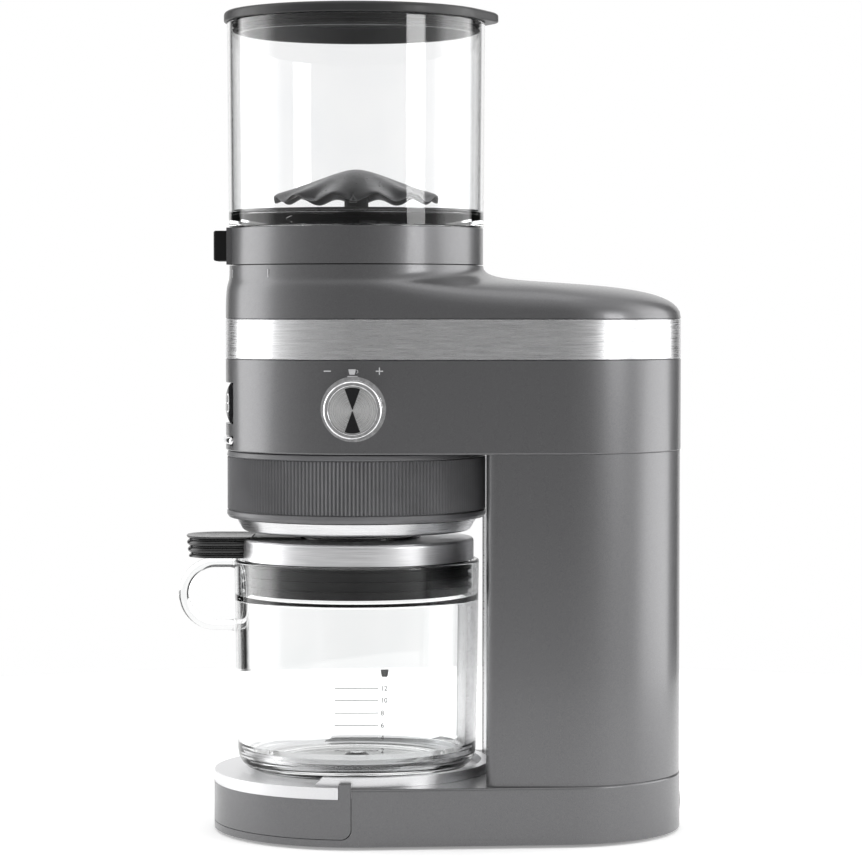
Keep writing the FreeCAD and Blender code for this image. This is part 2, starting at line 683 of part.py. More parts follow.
def make_compound_gear():
    x, y = COMPOUND_X, COMPOUND_Y
    small = gear(SMALL_TEETH, SLOW_MODULE, GEAR_LOW - 0.5, GEAR_LOW + GEAR_W + 0.5, x, y, SMALL_PHASE)
    wheel = gear(WHEEL_TEETH, FAST_MODULE, WHEEL_LOW, WHEEL_LOW + WHEEL_W, x, y, WHEEL_PHASE)
    wheel = wheel.cut(tube(20, 8, WHEEL_LOW + 3, WHEEL_LOW + 20, x, y))
    hub = tube(5.6, 0, HEAD_BOTTOM + SHELL + CASE_FLOOR + FIT, CASE_TOP - FIT, x, y)
    return fuse(small, wheel, hub).cut(tube(PIN_R + RUN, 0, 180, 230, x, y))


def make_motor_pinion():
    body = gear(PINION_TEETH, FAST_MODULE, WHEEL_LOW - 0.5, WHEEL_LOW + WHEEL_W + 0.5,
                MOTOR_X, MOTOR_Y, PINION_PHASE)
    return body.cut(tube(MOTOR_SHAFT_R + 0.02, 0, 200, 230, MOTOR_X, MOTOR_Y))


MOTOR_TOP = HEAD_BOTTOM + SHELL
MOTOR_CAP = 3.5
MOTOR_LOW = MOTOR_TOP - MOTOR_CAP - MOTOR_LENGTH


def motor_tube(r_out, r_in, z0, z1):
    return tube(r_out, r_in, z0, z1, MOTOR_X, MOTOR_Y)


def make_motor_can():
    can = motor_tube(MOTOR_R, MOTOR_R - 2, MOTOR_LOW, MOTOR_TOP - MOTOR_CAP)
    floor = motor_tube(MOTOR_R, 0, MOTOR_LOW, MOTOR_LOW + 2)
    boss = motor_tube(6, 0, MOTOR_LOW + 1, MOTOR_LOW + 7)
    return fuse(can, floor, boss).cut(motor_tube(MOTOR_SHAFT_R + RUN, 0, MOTOR_LOW + 1, MOTOR_LOW + 9))


def make_motor_end_cap():
    cap = motor_tube(MOTOR_R, MOTOR_SHAFT_R + RUN, MOTOR_TOP - MOTOR_CAP, MOTOR_TOP)
    for x, y in motor_screw_places():
        cap = cap.cut(tube(1.5, 0, 150, 200, x, y))
    return cap


def make_motor_magnets():
    magnets = []
    for angle in (0, 180):
        arc = sector(MOTOR_R - 2.1, MOTOR_R - 6, MOTOR_LOW + 15, MOTOR_LOW + 70, angle, 65)
        arc.translate(V(MOTOR_X, MOTOR_Y, 0))
        magnets.append(arc)
    return Part.makeCompound(magnets)


def make_motor_armature():
    shaft = motor_tube(MOTOR_SHAFT_R, 0, MOTOR_LOW + 1.5, CASE_TOP - 0.5)
    core = motor_tube(MOTOR_R - 6.6, 0, MOTOR_LOW + 20, MOTOR_LOW + 64)
    for i in range(8):
        slot = block(13, 40, -1.2, 1.2, MOTOR_LOW, MOTOR_TOP)
        slot.rotate(V(0, 0, 0), V(0, 0, 1), 45 * i)
        slot.translate(V(MOTOR_X, MOTOR_Y, 0))
        core = core.cut(slot)
    return fuse(shaft, core, motor_tube(9, 0, MOTOR_LOW + 9, MOTOR_LOW + 17))


# ---------------------------------------------------------------- grinding parts

def make_burr_shaft():
    top = CONE_TOP - 0.5
    return tube(SHAFT_R, 0, HEAD_BOTTOM + SHELL + 0.2, top).cut(tube(2.5, 0, top - 12, top + 1))


def make_burr_gear():
    body = gear(BURR_TEETH, SLOW_MODULE, GEAR_LOW, GEAR_LOW + GEAR_W, 0, 0, BURR_PHASE)
    body = body.cut(tube(26, 0, GEAR_LOW + 3, GEAR_LOW + 20))
    return body.cut(tube(SHAFT_R + 0.02, 0, 180, 230))


def make_shaft_bearings():
    low = HEAD_BOTTOM + SHELL
    lower = tube(7.95, SHAFT_R + RUN, low, GEAR_LOW - FIT)
    upper = tube(10.95, SHAFT_R + RUN, GEAR_LOW + 3.8, CASE_ROOF)
    return Part.makeCompound([lower, upper])


def make_grind_chamber():
    top = CASE_ROOF + CHAMBER_FLOOR_T
    wall = tube(CHAMBER_R + CHAMBER_WALL, CHAMBER_R, CASE_ROOF, CHAMBER_TOP)
    floor = tube(CHAMBER_R + 1, 0, CASE_ROOF, top)
    boss = tube(14, 0, GEAR_LOW + 3.8, CASE_ROOF + 1)
    outlet = sector(CHAMBER_R, CHUTE_IN, HEAD_BOTTOM - 1, top + 1, -90, CHUTE_HALF)
    duct = sector(NECK_IN - 0.2, CASE_ROUND_R + 0.1, HEAD_BOTTOM, CASE_ROOF + 1, -90,
                  CHUTE_HALF + 2)
    chamber = fuse(wall, floor, boss, duct).cut(outlet)
    chamber = chamber.cut(tube(11, 0, GEAR_LOW, CASE_ROOF))
    return chamber.cut(tube(SHAFT_R + FIT, 0, GEAR_LOW, top + 1))


def make_sweeper():
    low = CASE_ROOF + CHAMBER_FLOOR_T + 0.4
    arms = []
    for i in range(4):
        arm = block(8, CHAMBER_R - 1.0, -2.5, 2.5, low, low + 4.5)
        arm = arm.common(tube(CHAMBER_R - 1.0, 0, low, low + 5))
        arm.rotate(V(0, 0, 0), V(0, 0, 1), 45 + 90 * i)
        arms.append(arm)
    hub = tube(14, 0, low, CONE_LOW)
    return fuse(hub, *arms).cut(tube(SHAFT_R + 0.02, 0, 200, 230))


def burr_cuts(count, r0, r1, z0, z1, width, lean):
    """Slanted cutting flutes spread round the burr axis."""
    cuts = []
    for i in range(count):
        cut = block(r0, r1, -width / 2, width / 2, z0, z1)
        cut.rotate(V((r0 + r1) / 2, 0, (z0 + z1) / 2), V(1, 0, 0), lean)
        cut.rotate(V(0, 0, 0), V(0, 0, 1), 360.0 * i / count)
        cuts.append(cut)
    return cuts


def make_cone_burr():
    cone = lathe((SHAFT_R + 0.02, CONE_LOW), (19.8, CONE_LOW), (19.6, CONE_LOW + 2), (17.4, 226.0),
                 (10.0, CONE_TOP), (SHAFT_R + 0.02, CONE_TOP))
    return cone.cut(burr_cuts(10, 12.5, 26.0, 226.0, CONE_TOP + 4, 2.4, 20))


def make_ring_burr():
    return lathe((21.0, RING_BURR_LOW), (RING_BURR_R, RING_BURR_LOW), (RING_BURR_R, RING_BURR_TOP),
                 (26.2, RING_BURR_TOP), (18.6, 226.0))


def make_cone_burr_bolt():
    head = plate([(8 * math.cos(math.radians(60 * i)), 8 * math.sin(math.radians(60 * i)))
                  for i in range(6)], CONE_TOP, CONE_TOP + 5)
    return fuse(head, tube(2.45, 0, CONE_TOP - 10, CONE_TOP + 1))


def make_burr_carrier():
    cup = tube(CHAMBER_R - RUN * 4, RING_BURR_R, CARRIER_LOW, CARRIER_FLANGE + 1)
    cup = cup.cut(tube(CHAMBER_R - 4, RING_BURR_R + 3, CARRIER_LOW - 1, CARRIER_FLANGE - 1))
    flange = tube(LEG_OUT, RING_BURR_R, CARRIER_FLANGE, CARRIER_FLANGE + CARRIER_T)
    legs = [sector(LEG_OUT, LEG_IN, SKIRT_LOW, CARRIER_FLANGE + CARRIER_T, a, LEG_HALF)
            for a in LEG_ANGLES]
    skirt = tube(SLEEVE_R - FIT, LEG_IN, SKIRT_LOW, SKIRT_HIGH)
    return fuse(cup, flange, skirt, *legs)


def make_adjusting_ring():
    ring = lathe((NECK_OUT + FIT, RING_LOW), (RING_R - 1.0, RING_LOW, 0.8), (RING_R, RIB_LOW - 1.5, 1.5),
                 (RING_RIB_R, RIB_LOW), (RING_RIB_R, RIB_HIGH), (RING_R - 0.8, RING_TOP, 0.8),
                 (SLEEVE_R, RING_TOP), (SLEEVE_R, RING_LOW + 3.5), (NECK_OUT + FIT, RING_LOW + 3.5))
    return ring.cut(tube(RING_R - 3.5, SLEEVE_R + 2.7, RING_LOW - 1, RING_TOP - 3.5))


def make_ring_neck():
    return tube(NECK_OUT, NECK_IN, DISH_LOW + 1.9, HEAD_BOTTOM)


def make_chute_funnel():
    return lathe((NECK_IN - 0.1, HEAD_BOTTOM), (NECK_IN - 0.1, 184.0), (MOUTH_R + 2, 154.0),
                 (MOUTH_R + 2, DISH_LOW + 0.3), (MOUTH_R, DISH_LOW + 0.3), (MOUTH_R, 154.5),
                 (NECK_IN - 2.1, 185.0), (NECK_IN - 2.1, HEAD_BOTTOM))


def make_spout_dish():
    inner = MOUTH_R + 2 + 0.2
    return lathe((inner, DISH_LOW), (DISH_R - 3.5, DISH_LOW, 3.0), (DISH_R, DISH_TOP),
                 (DISH_R - 1.6, DISH_TOP), (DISH_R - 4.6, DISH_LOW + 1.6, 1.6), (inner, DISH_LOW + 1.6))


# ---------------------------------------------------------------- hopper

def make_hopper_glass():
    """Clear wall, bonded to the funnel that closes its foot."""
    return lathe((GLASS_LOW_R, COLLAR_TOP + 0.2), (GLASS_TOP_R, HOPPER_TOP),
                 (GLASS_TOP_R - GLASS_T, HOPPER_TOP), (GLASS_LOW_R - GLASS_T, COLLAR_TOP + 0.2))


def make_hopper_funnel():
    """Sloping floor, feed throat and the rim that stands in the hopper base."""
    edge = GLASS_LOW_R - GLASS_T - RUN
    rim = COLLAR_R - COLLAR_T - SHELL - 0.2
    return lathe((edge, COLLAR_TOP + 0.2), (edge, COLLAR_TOP + 6.0),
                 (THROAT_R + 1.0, COLLAR_TOP - 2.0, 3.0), (THROAT_R, THROAT_LOW),
                 (THROAT_R + 2.0, THROAT_LOW), (THROAT_R + 3.2, COLLAR_TOP - 4.5, 3.0),
                 (rim - 1.3, COLLAR_TOP + 1.0), (rim - 1.3, 291.0), (rim, 291.0),
                 (rim, COLLAR_TOP + 0.2))


def stem_hole():
    """The way of the release button's stem through the collar and the hopper base."""
    return block(-STEM_HALF - FIT, STEM_HALF + FIT, -70, -40, STEM_LOW - FIT, STEM_HIGH + FIT)


def make_hopper_base():
    inner_wall = COLLAR_R - COLLAR_T - RUN
    floor = tube(inner_wall, THROAT_R + 4.4, COLLAR_BOTTOM, COLLAR_BOTTOM + 2.7)
    wall = tube(inner_wall, inner_wall - SHELL, COLLAR_BOTTOM, COLLAR_TOP)
    spigot = tube(SPIGOT_R, SPIGOT_R - 2.5, SPIGOT_LOW, COLLAR_BOTTOM + 1)
    lugs = [sector(LUG_R, SPIGOT_R - 1, SPIGOT_LOW, SPIGOT_LOW + LUG_H, a, LUG_HALF)
            for a in LUG_ANGLES]
    return fuse(floor, wall, spigot, *lugs).cut(stem_hole())


def make_hopper_collar():
    ring = tube(COLLAR_R, COLLAR_R - COLLAR_T, COLLAR_BOTTOM, COLLAR_TOP)
    rims = [e for e in edges_at(ring, COLLAR_TOP) if e.BoundBox.XMax > COLLAR_R - 1]
    ring = ring.makeFillet(0.6, rims)
    half = BUTTON_HALF + FIT + FRAME_T
    frame = block(-half, half, FRAME_FRONT, -55, COLLAR_BOTTOM, COLLAR_TOP)
    frame = frame.cut(tube(COLLAR_R - COLLAR_T, 0, 200, 400))
    pocket = block(-BUTTON_HALF - FIT, BUTTON_HALF + FIT, -90, -COLLAR_R + COLLAR_T,
                   BUTTON_LOW - FIT, BUTTON_HIGH + FIT)
    return fuse(ring, frame).cut(pocket).cut(stem_hole())


def make_release_button():
    cap = block(-BUTTON_HALF, BUTTON_HALF, BUTTON_FRONT, BUTTON_BACK, BUTTON_LOW, BUTTON_HIGH)
    front = [e for e in cap.Edges if e.BoundBox.YMax < BUTTON_FRONT + 1e-3]
    cap = cap.makeFillet(1.2, front)
    return fuse(cap, block(-STEM_HALF, STEM_HALF, BUTTON_BACK - 1, -57.5, STEM_LOW, STEM_HIGH))


def make_hopper_gasket():
    return lathe((57.6, COLLAR_TOP + 7.2), (60.9, COLLAR_TOP + 7.2), (60.9, COLLAR_TOP + 10.6, 0.6),
                 (59.4, COLLAR_TOP + 10.6, 0.6))


def make_bean_guard():
    cap = lathe((0, GUARD_TOP), (10, GUARD_TOP - 1.0, 8.0), (GUARD_R, GUARD_RIM + 2.5, 1.0),
                (GUARD_R, GUARD_RIM), (GUARD_R - 1.8, GUARD_RIM), (GUARD_R - 2.2, GUARD_RIM + 1.2),
                (9, GUARD_TOP - 3.0), (0, GUARD_TOP - 2.2))
    post = tube(5, 0, 284.0, GUARD_TOP - 2.6)
    ribs = []
    for i in range(3):
        rib = block(3, THROAT_R - 0.3, -1.2, 1.2, 284.0, 297.0)
        rib.rotate(V(0, 0, 0), V(0, 0, 1), 30 + 120 * i)
        ribs.append(rib)
    return fuse(cap, post, *ribs)


def make_hopper_lid():
    low = LID_TOP - LID_FLANGE
    flange = tube(LID_R, 0, low, LID_TOP)
    tab = plate([(-LID_TAB_HALF, 50), (LID_TAB_HALF, 50), (LID_TAB_HALF, LID_TAB_Y, 5.0),
                 (-LID_TAB_HALF, LID_TAB_Y, 5.0)], low, LID_TOP)
    body = fuse(flange, tab)
    body = body.makeFillet(1.4, edges_at(body, LID_TOP))
    plug = tube(LID_PLUG_R, 0, low - LID_PLUG_H, low + 1)
    return fuse(body, plug).cut(tube(LID_PLUG_R - 2.5, 0, low - 10, LID_TOP - 2.5))


def make_hopper_lid_seal():
    low = LID_TOP - LID_FLANGE
    inner = LID_PLUG_R + 0.02
    band = tube(inner + 1.2, inner, low - 5.2, low - 0.6)
    lips = [tube(GLASS_TOP_R - GLASS_T - 0.35, inner, low - z, low - z + 0.9) for z in (4.8, 2.4)]
    return fuse(band, *lips)


# ---------------------------------------------------------------- jar

def jar_outside():
    return lathe((0, JAR_LOW), (JAR_LOW_R, JAR_LOW, JAR_CORNER), (JAR_TOP_R, JAR_TOP, 1.0),
                 (0, JAR_TOP))


def make_jar_glass():
    inside = lathe((0, JAR_LOW + JAR_FLOOR + 1.6), (12, JAR_LOW + JAR_FLOOR, 8.0),
                   (JAR_LOW_R - JAR_WALL, JAR_LOW + JAR_FLOOR, JAR_CORNER - 2.5),
                   (JAR_TOP_R - JAR_WALL, JAR_TOP + 1), (0, JAR_TOP + 1))
    foot = lathe((0, JAR_LOW - 1), (JAR_LOW_R - 16, JAR_LOW - 1), (JAR_LOW_R - 18, JAR_LOW + 1.0),
                 (0, JAR_LOW + 2.2))
    top = V(0, HANDLE_Y, HANDLE_Z + HANDLE_BEND)
    bars = [rod_y(HANDLE_R, 0, HANDLE_Y, -JAR_LOW_R + 1.4, HANDLE_Z + s * HANDLE_BEND) for s in (-1, 1)]
    bend = Part.makeTorus(HANDLE_BEND, HANDLE_R, V(0, HANDLE_Y, HANDLE_Z), V(1, 0, 0))
    bend = ends_in_front(bend, top.y)
    return fuse(jar_outside().cut(inside).cut(foot), bend, *bars)


def make_jar_lid_cap():
    cap = lathe((JAR_HOLE_R, JAR_LID_TOP), (JAR_LID_R, JAR_LID_TOP, 4.0), (JAR_LID_R, JAR_TOP + 0.3),
                (JAR_LID_R - JAR_LID_T, JAR_TOP + 0.3),
                (JAR_LID_R - JAR_LID_T, JAR_LID_TOP - JAR_LID_T, 2.8),
                (JAR_HOLE_R, JAR_LID_TOP - JAR_LID_T))
    return cap.cut(block(-TAB_HALF - FIT, TAB_HALF + FIT, -80, -50, 100, 200))


def make_jar_lid_body():
    top = JAR_LID_TOP - JAR_LID_T - 0.1
    inner = JAR_LID_R - JAR_LID_T - 0.1
    body = lathe((JAR_HOLE_R, top), (inner, top, 3.0), (inner, JAR_TOP + 0.3), (JAR_PLUG_R, JAR_TOP + 0.3),
                 (JAR_PLUG_R, JAR_PLUG_LOW), (JAR_HOLE_R, JAR_PLUG_LOW))
    body = body.cut(tube(JAR_PLUG_R - 2.5, JAR_HOLE_R + 2.5, JAR_PLUG_LOW - 1, top - 2.5))
    lips = [tube(JAR_TOP_R - JAR_WALL - 0.7, JAR_PLUG_R - 1, z, z + 1.6) for z in (121.5, 126.2, 131.0)]
    body = fuse(body, *lips)
    return body.cut(block(-TAB_HALF - FIT, TAB_HALF + FIT, -80, -50, JAR_TOP + 1.0, 200))


def make_jar_lid_lever():
    top = JAR_LID_TOP + LEVER_T
    tab = plate([(-TAB_HALF, -50.3), (-TAB_HALF, TAB_FRONT, 17.0), (TAB_HALF, TAB_FRONT, 17.0),
                 (TAB_HALF, -50.3)], TAB_LOW, top)
    tongue = block(-TAB_HALF, TAB_HALF, -52, 0, JAR_LID_TOP + 0.05, top)
    ring = tube(LEVER_R, 0, JAR_LID_TOP + 0.05, top)
    return fuse(tab, tongue, ring).cut(tube(JAR_HOLE_R, 0, 100, 200))


# ---------------------------------------------------------------- the whole machine

NODES = {
    "base_shell": make_base_shell,
    "base_plate": make_base_plate,
    "base_screws": make_base_screws,
    "rubber_feet": make_feet,
    "cord_gland": make_cord_gland,
    "tray_plate": make_tray_plate,
    "tray_fascia": make_tray_fascia,
    "column_shell": make_column_shell,
    "column_front_panel": make_front_panel,
    "control_board": make_control_board,
    "head_lower_shell": make_head_lower_shell,
    "trim_band": make_trim_band,
    "head_top_cover": make_head_top_cover,
    "bayonet_feed_ring": make_bayonet_feed_ring,
    "display_lens": make_display_lens,
    "display_board": make_display_board,
    "start_button": make_start_button,
    "knob_bezel": make_knob_bezel,
    "encoder_case": make_encoder_case,
    "encoder_plunger": make_encoder_plunger,
    "encoder_shaft": make_encoder_shaft,
    "knob_body": make_knob_body,
    "knob_face": make_knob_face,
    "gear_case": make_gear_case,
    "gear_case_cover": make_gear_case_cover,
    "gear_case_screws": make_gear_case_screws,
    "gear_pins": make_gear_pins,
    "idler_gear": make_idler_gear,
    "compound_gear": make_compound_gear,
    "motor_pinion": make_motor_pinion,
    "motor_can": make_motor_can,
    "motor_end_cap": make_motor_end_cap,
    "motor_magnets": make_motor_magnets,
    "motor_armature": make_motor_armature,
    "burr_shaft": make_burr_shaft,
    "burr_gear": make_burr_gear,
    "shaft_bearings": make_shaft_bearings,
    "grind_chamber": make_grind_chamber,
    "sweeper": make_sweeper,
    "cone_burr": make_cone_burr,
    "ring_burr": make_ring_burr,
    "cone_burr_bolt": make_cone_burr_bolt,
    "burr_carrier": make_burr_carrier,
    "adjusting_ring": make_adjusting_ring,
    "ring_neck": make_ring_neck,
    "chute_funnel": make_chute_funnel,
    "spout_dish": make_spout_dish,
    "hopper_glass": make_hopper_glass,
    "hopper_funnel": make_hopper_funnel,
    "hopper_base": make_hopper_base,
    "hopper_collar": make_hopper_collar,
    "release_button": make_release_button,
    "hopper_gasket": make_hopper_gasket,
    "bean_guard": make_bean_guard,
    "hopper_lid": make_hopper_lid,
    "hopper_lid_seal": make_hopper_lid_seal,
    "jar_glass": make_jar_glass,
    "jar_lid_cap": make_jar_lid_cap,
    "jar_lid_body": make_jar_lid_body,
    "jar_lid_lever": make_jar_lid_lever,
}


def main():
    os.makedirs("parts", exist_ok=True)
    for name, make in NODES.items():
        shape = make()
        if not shape.isValid() or shape.Volume <= 0:
            raise ValueError("bad solid: " + name)
        shape.exportStep("parts/" + name + ".step")
        print(name, len(shape.Solids), round(shape.Volume))


main()
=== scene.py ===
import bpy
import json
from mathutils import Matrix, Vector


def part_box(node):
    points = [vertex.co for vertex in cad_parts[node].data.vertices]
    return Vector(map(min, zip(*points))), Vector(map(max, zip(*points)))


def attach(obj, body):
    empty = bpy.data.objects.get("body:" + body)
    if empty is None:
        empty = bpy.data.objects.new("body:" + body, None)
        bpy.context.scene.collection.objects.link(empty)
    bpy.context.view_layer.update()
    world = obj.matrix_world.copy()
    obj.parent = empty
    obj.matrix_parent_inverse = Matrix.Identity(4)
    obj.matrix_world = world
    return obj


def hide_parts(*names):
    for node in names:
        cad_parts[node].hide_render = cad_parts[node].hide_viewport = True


bl_info = {
    "name": "Coffee Grinder Looks",
    "version": (1, 0, 0),
    "blender": (4, 5, 0),
    "location": "View3D > Sidebar > Grinder",
    "description": "Builds the visible surfaces and finishes of a burr coffee grinder "
                   "round its CAD frame",
    "category": "Add Mesh",
}

import json
import math

import bmesh
import bpy
import numpy as np
from bpy.props import FloatProperty, FloatVectorProperty, IntProperty, PointerProperty
from mathutils import Vector

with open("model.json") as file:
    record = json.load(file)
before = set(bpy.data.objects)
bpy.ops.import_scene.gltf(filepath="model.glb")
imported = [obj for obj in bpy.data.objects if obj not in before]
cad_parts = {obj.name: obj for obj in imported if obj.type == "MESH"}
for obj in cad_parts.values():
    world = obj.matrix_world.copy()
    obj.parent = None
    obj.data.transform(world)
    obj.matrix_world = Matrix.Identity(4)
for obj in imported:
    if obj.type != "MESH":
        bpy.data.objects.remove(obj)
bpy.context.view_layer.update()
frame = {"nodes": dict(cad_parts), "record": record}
NODES = frame["nodes"]

MM = 0.001
HEAD_R = -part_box("trim_band")[0].y             # the head's front curve, about the burr axis
BACK_R = 62.5 * MM                             # its back curve
BACK_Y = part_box("trim_band")[1].y - BACK_R     # centre of the back curve
FULL_TURN = 2 * math.pi
FRONT = -math.pi / 2                           # directions round the burr axis
KNOB_SIDE = 0.0


# ---------------------------------------------------------------- mesh tools

def new_piece(name, points, faces, smooth=True, sharp=40.0):
    """A mesh object from arrays of points and faces, smooth except at sharp corners (degrees)."""
    mesh = bpy.data.meshes.new(name)
    mesh.from_pydata(points.tolist(), [], faces.tolist())
    clean_mesh(mesh, smooth, sharp)
    piece = bpy.data.objects.new(name, mesh)
    bpy.context.scene.collection.objects.link(piece)
    return piece


def clean_mesh(mesh, smooth=True, sharp=40.0, weld=1e-6):
    """Merges doubles, faces everything outward and marks the sharp edges."""
    work = bmesh.new()
    work.from_mesh(mesh)
    bmesh.ops.remove_doubles(work, verts=work.verts, dist=weld)
    bmesh.ops.dissolve_degenerate(work, edges=work.edges, dist=weld)
    bmesh.ops.recalc_face_normals(work, faces=work.faces)
    limit = math.radians(sharp)
    for edge in work.edges:
        edge.smooth = not (edge.is_manifold and edge.calc_face_angle(0.0) > limit)
    for face in work.faces:
        face.smooth = smooth
    work.to_mesh(mesh)
    work.free()


def grid_faces(rows, columns, loop_rows, loop_columns):
    """Quads over a rows by columns grid, joined end to end where asked."""
    i = np.arange(rows if loop_rows else rows - 1)
    j = np.arange(columns if loop_columns else columns - 1)
    i, j = np.meshgrid(i, j, indexing="ij")
    below, right = (i + 1) % rows, (j + 1) % columns
    quads = [i * columns + j, i * columns + right, below * columns + right, below * columns + j]
    return np.stack(quads, axis=-1).reshape(-1, 4)


def grid_piece(name, points, loop_rows=False, loop_columns=False, **shading):
    """A piece from a (rows, columns, 3) array of points."""
    rows, columns = points.shape[:2]
    faces = grid_faces(rows, columns, loop_rows, loop_columns)
    return new_piece(name, points.reshape(-1, 3), faces, **shading)


LONG_SIDE = 1.2      # mm: a side longer than this gets support points
SUPPORT = 0.15       # mm: how far they are from its ends


def rounded(corners, steps=6):
    """A closed outline of (u, v, radius) corners in mm, as points in metres.

    Each corner is an arc from c + r*a to c + r*b, where a and b run along its two sides. Long
    sides get a point close to each end, so that their shading stays flat."""
    corners = [np.array(c, float) for c in corners]
    points = []
    for k, corner in enumerate(corners):
        here, radius = corner[:2], (corner[2] if len(corner) > 2 else 0.0)
        if radius <= 0:
            points.append(here)
            continue
        a = corners[k - 1][:2] - here
        b = corners[(k + 1) % len(corners)][:2] - here
        a, b = a / np.linalg.norm(a), b / np.linalg.norm(b)
        half = math.acos(np.clip(a @ b, -1, 1)) / 2
        middle = here + (a + b) / np.linalg.norm(a + b) * radius / math.sin(half)
        start = here + a * radius / math.tan(half) - middle
        end = here + b * radius / math.tan(half) - middle
        turn = math.acos(np.clip(start @ end / radius ** 2, -1, 1))
        for t in np.linspace(0, 1, steps):
            weight = np.array([math.sin((1 - t) * turn), math.sin(t * turn)]) / math.sin(turn)
            points.append(middle + weight[0] * start + weight[1] * end)
    held = []
    for here, there in zip(points, points[1:] + points[:1]):
        step = there - here
        length = np.linalg.norm(step)
        held.append(here)
        if length > LONG_SIDE:
            held += [here + step * SUPPORT / length, there - step * SUPPORT / length]
    return np.array(held) * MM


def lathe_points(outline, segments, ripple=None):
    """(radius, height) points turned about Z: x = r cos t, y = r sin t. ripple(t, z) adds to r."""
    turn = np.linspace(0, FULL_TURN, segments, endpoint=False)[:, None]
    radius, height = outline[:, 0][None, :], outline[:, 1][None, :]
    if ripple is not None:
        radius = radius + ripple(turn, height)
    return around(turn, radius, height)


def around(turn, radius, height):
    """Points at an angle, a radius and a height about the burr axis, as (x, y, z)."""
    return np.stack(np.broadcast_arrays(radius * np.cos(turn), radius * np.sin(turn), height),
                    axis=-1)


def lathe(name, corners, segments=160, **shading):
    """A closed outline turned about the burr axis."""
    return grid_piece(name, lathe_points(rounded(corners), segments), True, True, **shading)


def hull_reach(angle, front_r, back_r, back_y):
    """How far the hull of two circles is from the first one's centre in a direction.

    The circles are front_r at the origin and back_r at back_y on +Y. The reach is that of the
    front circle, the tangent line or the back circle, whichever the direction meets."""
    lean = math.asin((front_r - back_r) / back_y)
    across, along = np.abs(np.cos(angle)), np.sin(angle)
    line = front_r / np.maximum(across * math.cos(lean) + along * math.sin(lean), 1e-6)
    back = back_y * along + np.sqrt(np.maximum(back_r ** 2 - (back_y * across) ** 2, 0))
    end = math.atan2(back_y + back_r * math.sin(lean), back_r * math.cos(lean))
    from_side = np.arctan2(along, across)
    return np.where(from_side < lean, front_r, np.where(from_side < end, line, back))


def on_drum(points, radius, centre):
    """Wraps flat (u, v) points round an upright drum: angle = centre + u / radius, height = v."""
    return around(centre + points[..., 0] / radius, radius, points[..., 1])


def on_flank(points, lift):
    """Wraps flat (u, v) points on the head's knob side: the drum in front of its tangent point,
    and behind it the straight side, X = (r - Y sin lean) / cos lean."""
    lean = math.asin((HEAD_R - BACK_R) / BACK_Y)
    along = points[..., 0]
    straight = (HEAD_R + lift - along * math.sin(lean)) / math.cos(lean)
    curved = np.sqrt(np.maximum((HEAD_R + lift) ** 2 - along ** 2, 0))
    across = np.where(along > HEAD_R * math.sin(lean), straight, curved)
    return np.stack([across, along, points[..., 1]], axis=-1)


def shrinking_rings(outline, count):
    """A star-shaped outline scaled by s = 1 to 0 about its middle, ring by ring."""
    middle = outline.mean(axis=0)
    scales = np.linspace(1.0, 0.0, count)[:, None, None]
    return middle + (outline[None] - middle) * scales


def flank_patch(name, outline, proud, rings=4):
    """A thin closed plate on the head's knob side: shrinking rings of its outline, wrapped on
    the side proud of it for the outer face and as far below it for the inner one."""
    flat = shrinking_rings(outline, rings)
    inner, outer = on_flank(flat, -proud), on_flank(flat, proud)
    return grid_piece(name, np.concatenate([inner[::-1], outer]), False, True)


def drum_patch(name, outline, radius, thickness, centre, rings=24):
    """A thin closed plate on a drum: shrinking rings of its outline, wrapped at the radius for
    the outer face and at the radius less the thickness for the inner one."""
    flat = shrinking_rings(outline, rings)
    inner, outer = on_drum(flat, radius - thickness, centre), on_drum(flat, radius, centre)
    return grid_piece(name, np.concatenate([inner[::-1], outer]), False, True)


def tube_along(name, path, radius, columns, squash=1.0):
    """A round tube: each path point carries a circle in the plane of its side and up vectors,
    squash times as high as wide."""
    forward = np.gradient(path, axis=0)
    forward /= np.linalg.norm(forward, axis=1)[:, None]
    upright = abs(forward[:, 2]).max() >= 0.9
    side = np.cross(forward, [1.0, 0.0, 0.0] if upright else [0.0, 0.0, 1.0])
    side /= np.linalg.norm(side, axis=1)[:, None]
    up = squash * np.cross(side, forward)
    t = np.linspace(0, FULL_TURN, columns, endpoint=False)[None, :, None]
    radius = np.broadcast_to(radius, (len(path),))[:, None, None]
    ring = np.cos(t) * side[:, None] + np.sin(t) * up[:, None]
    return grid_piece(name, path[:, None] + radius * ring, False, True)


def refined(node, name, sharp=30.0):
    """A welded copy of a CAD node with smooth curves and crisp corners."""
    mesh = NODES[node].data.copy()
    clean_mesh(mesh, True, sharp, 2e-6)
    mesh.materials.clear()
    piece = bpy.data.objects.new(name, mesh)
    bpy.context.scene.collection.objects.link(piece)
    even = piece.modifiers.new("even_shading", "WEIGHTED_NORMAL")
    even.keep_sharp = True
    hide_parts(node)
    return piece


def settle(piece, body, material):
    """The piece rides on a body, takes a slot and wears a material."""
    piece.data.materials.clear()
    piece.data.materials.append(material)
    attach(piece, body)
    return piece


# ---------------------------------------------------------------- materials

def lighter(color, factor, lift=0.0):
    """A colour scaled and lifted, kept within 1."""
    return tuple(min(c * factor + lift, 1.0) for c in color)


def node_adder(tree):
    """A function that adds a node, sets it up, and links or fills its inputs."""
    def add(kind, inputs=None, **settings):
        node = tree.nodes.new("ShaderNode" + kind)
        for key, value in settings.items():
            setattr(node, key, value)
        for key, value in (inputs or {}).items():
            if isinstance(value, bpy.types.NodeSocket):
                tree.links.new(value, node.inputs[key])
            else:
                node.inputs[key].default_value = value
        return node
    return add


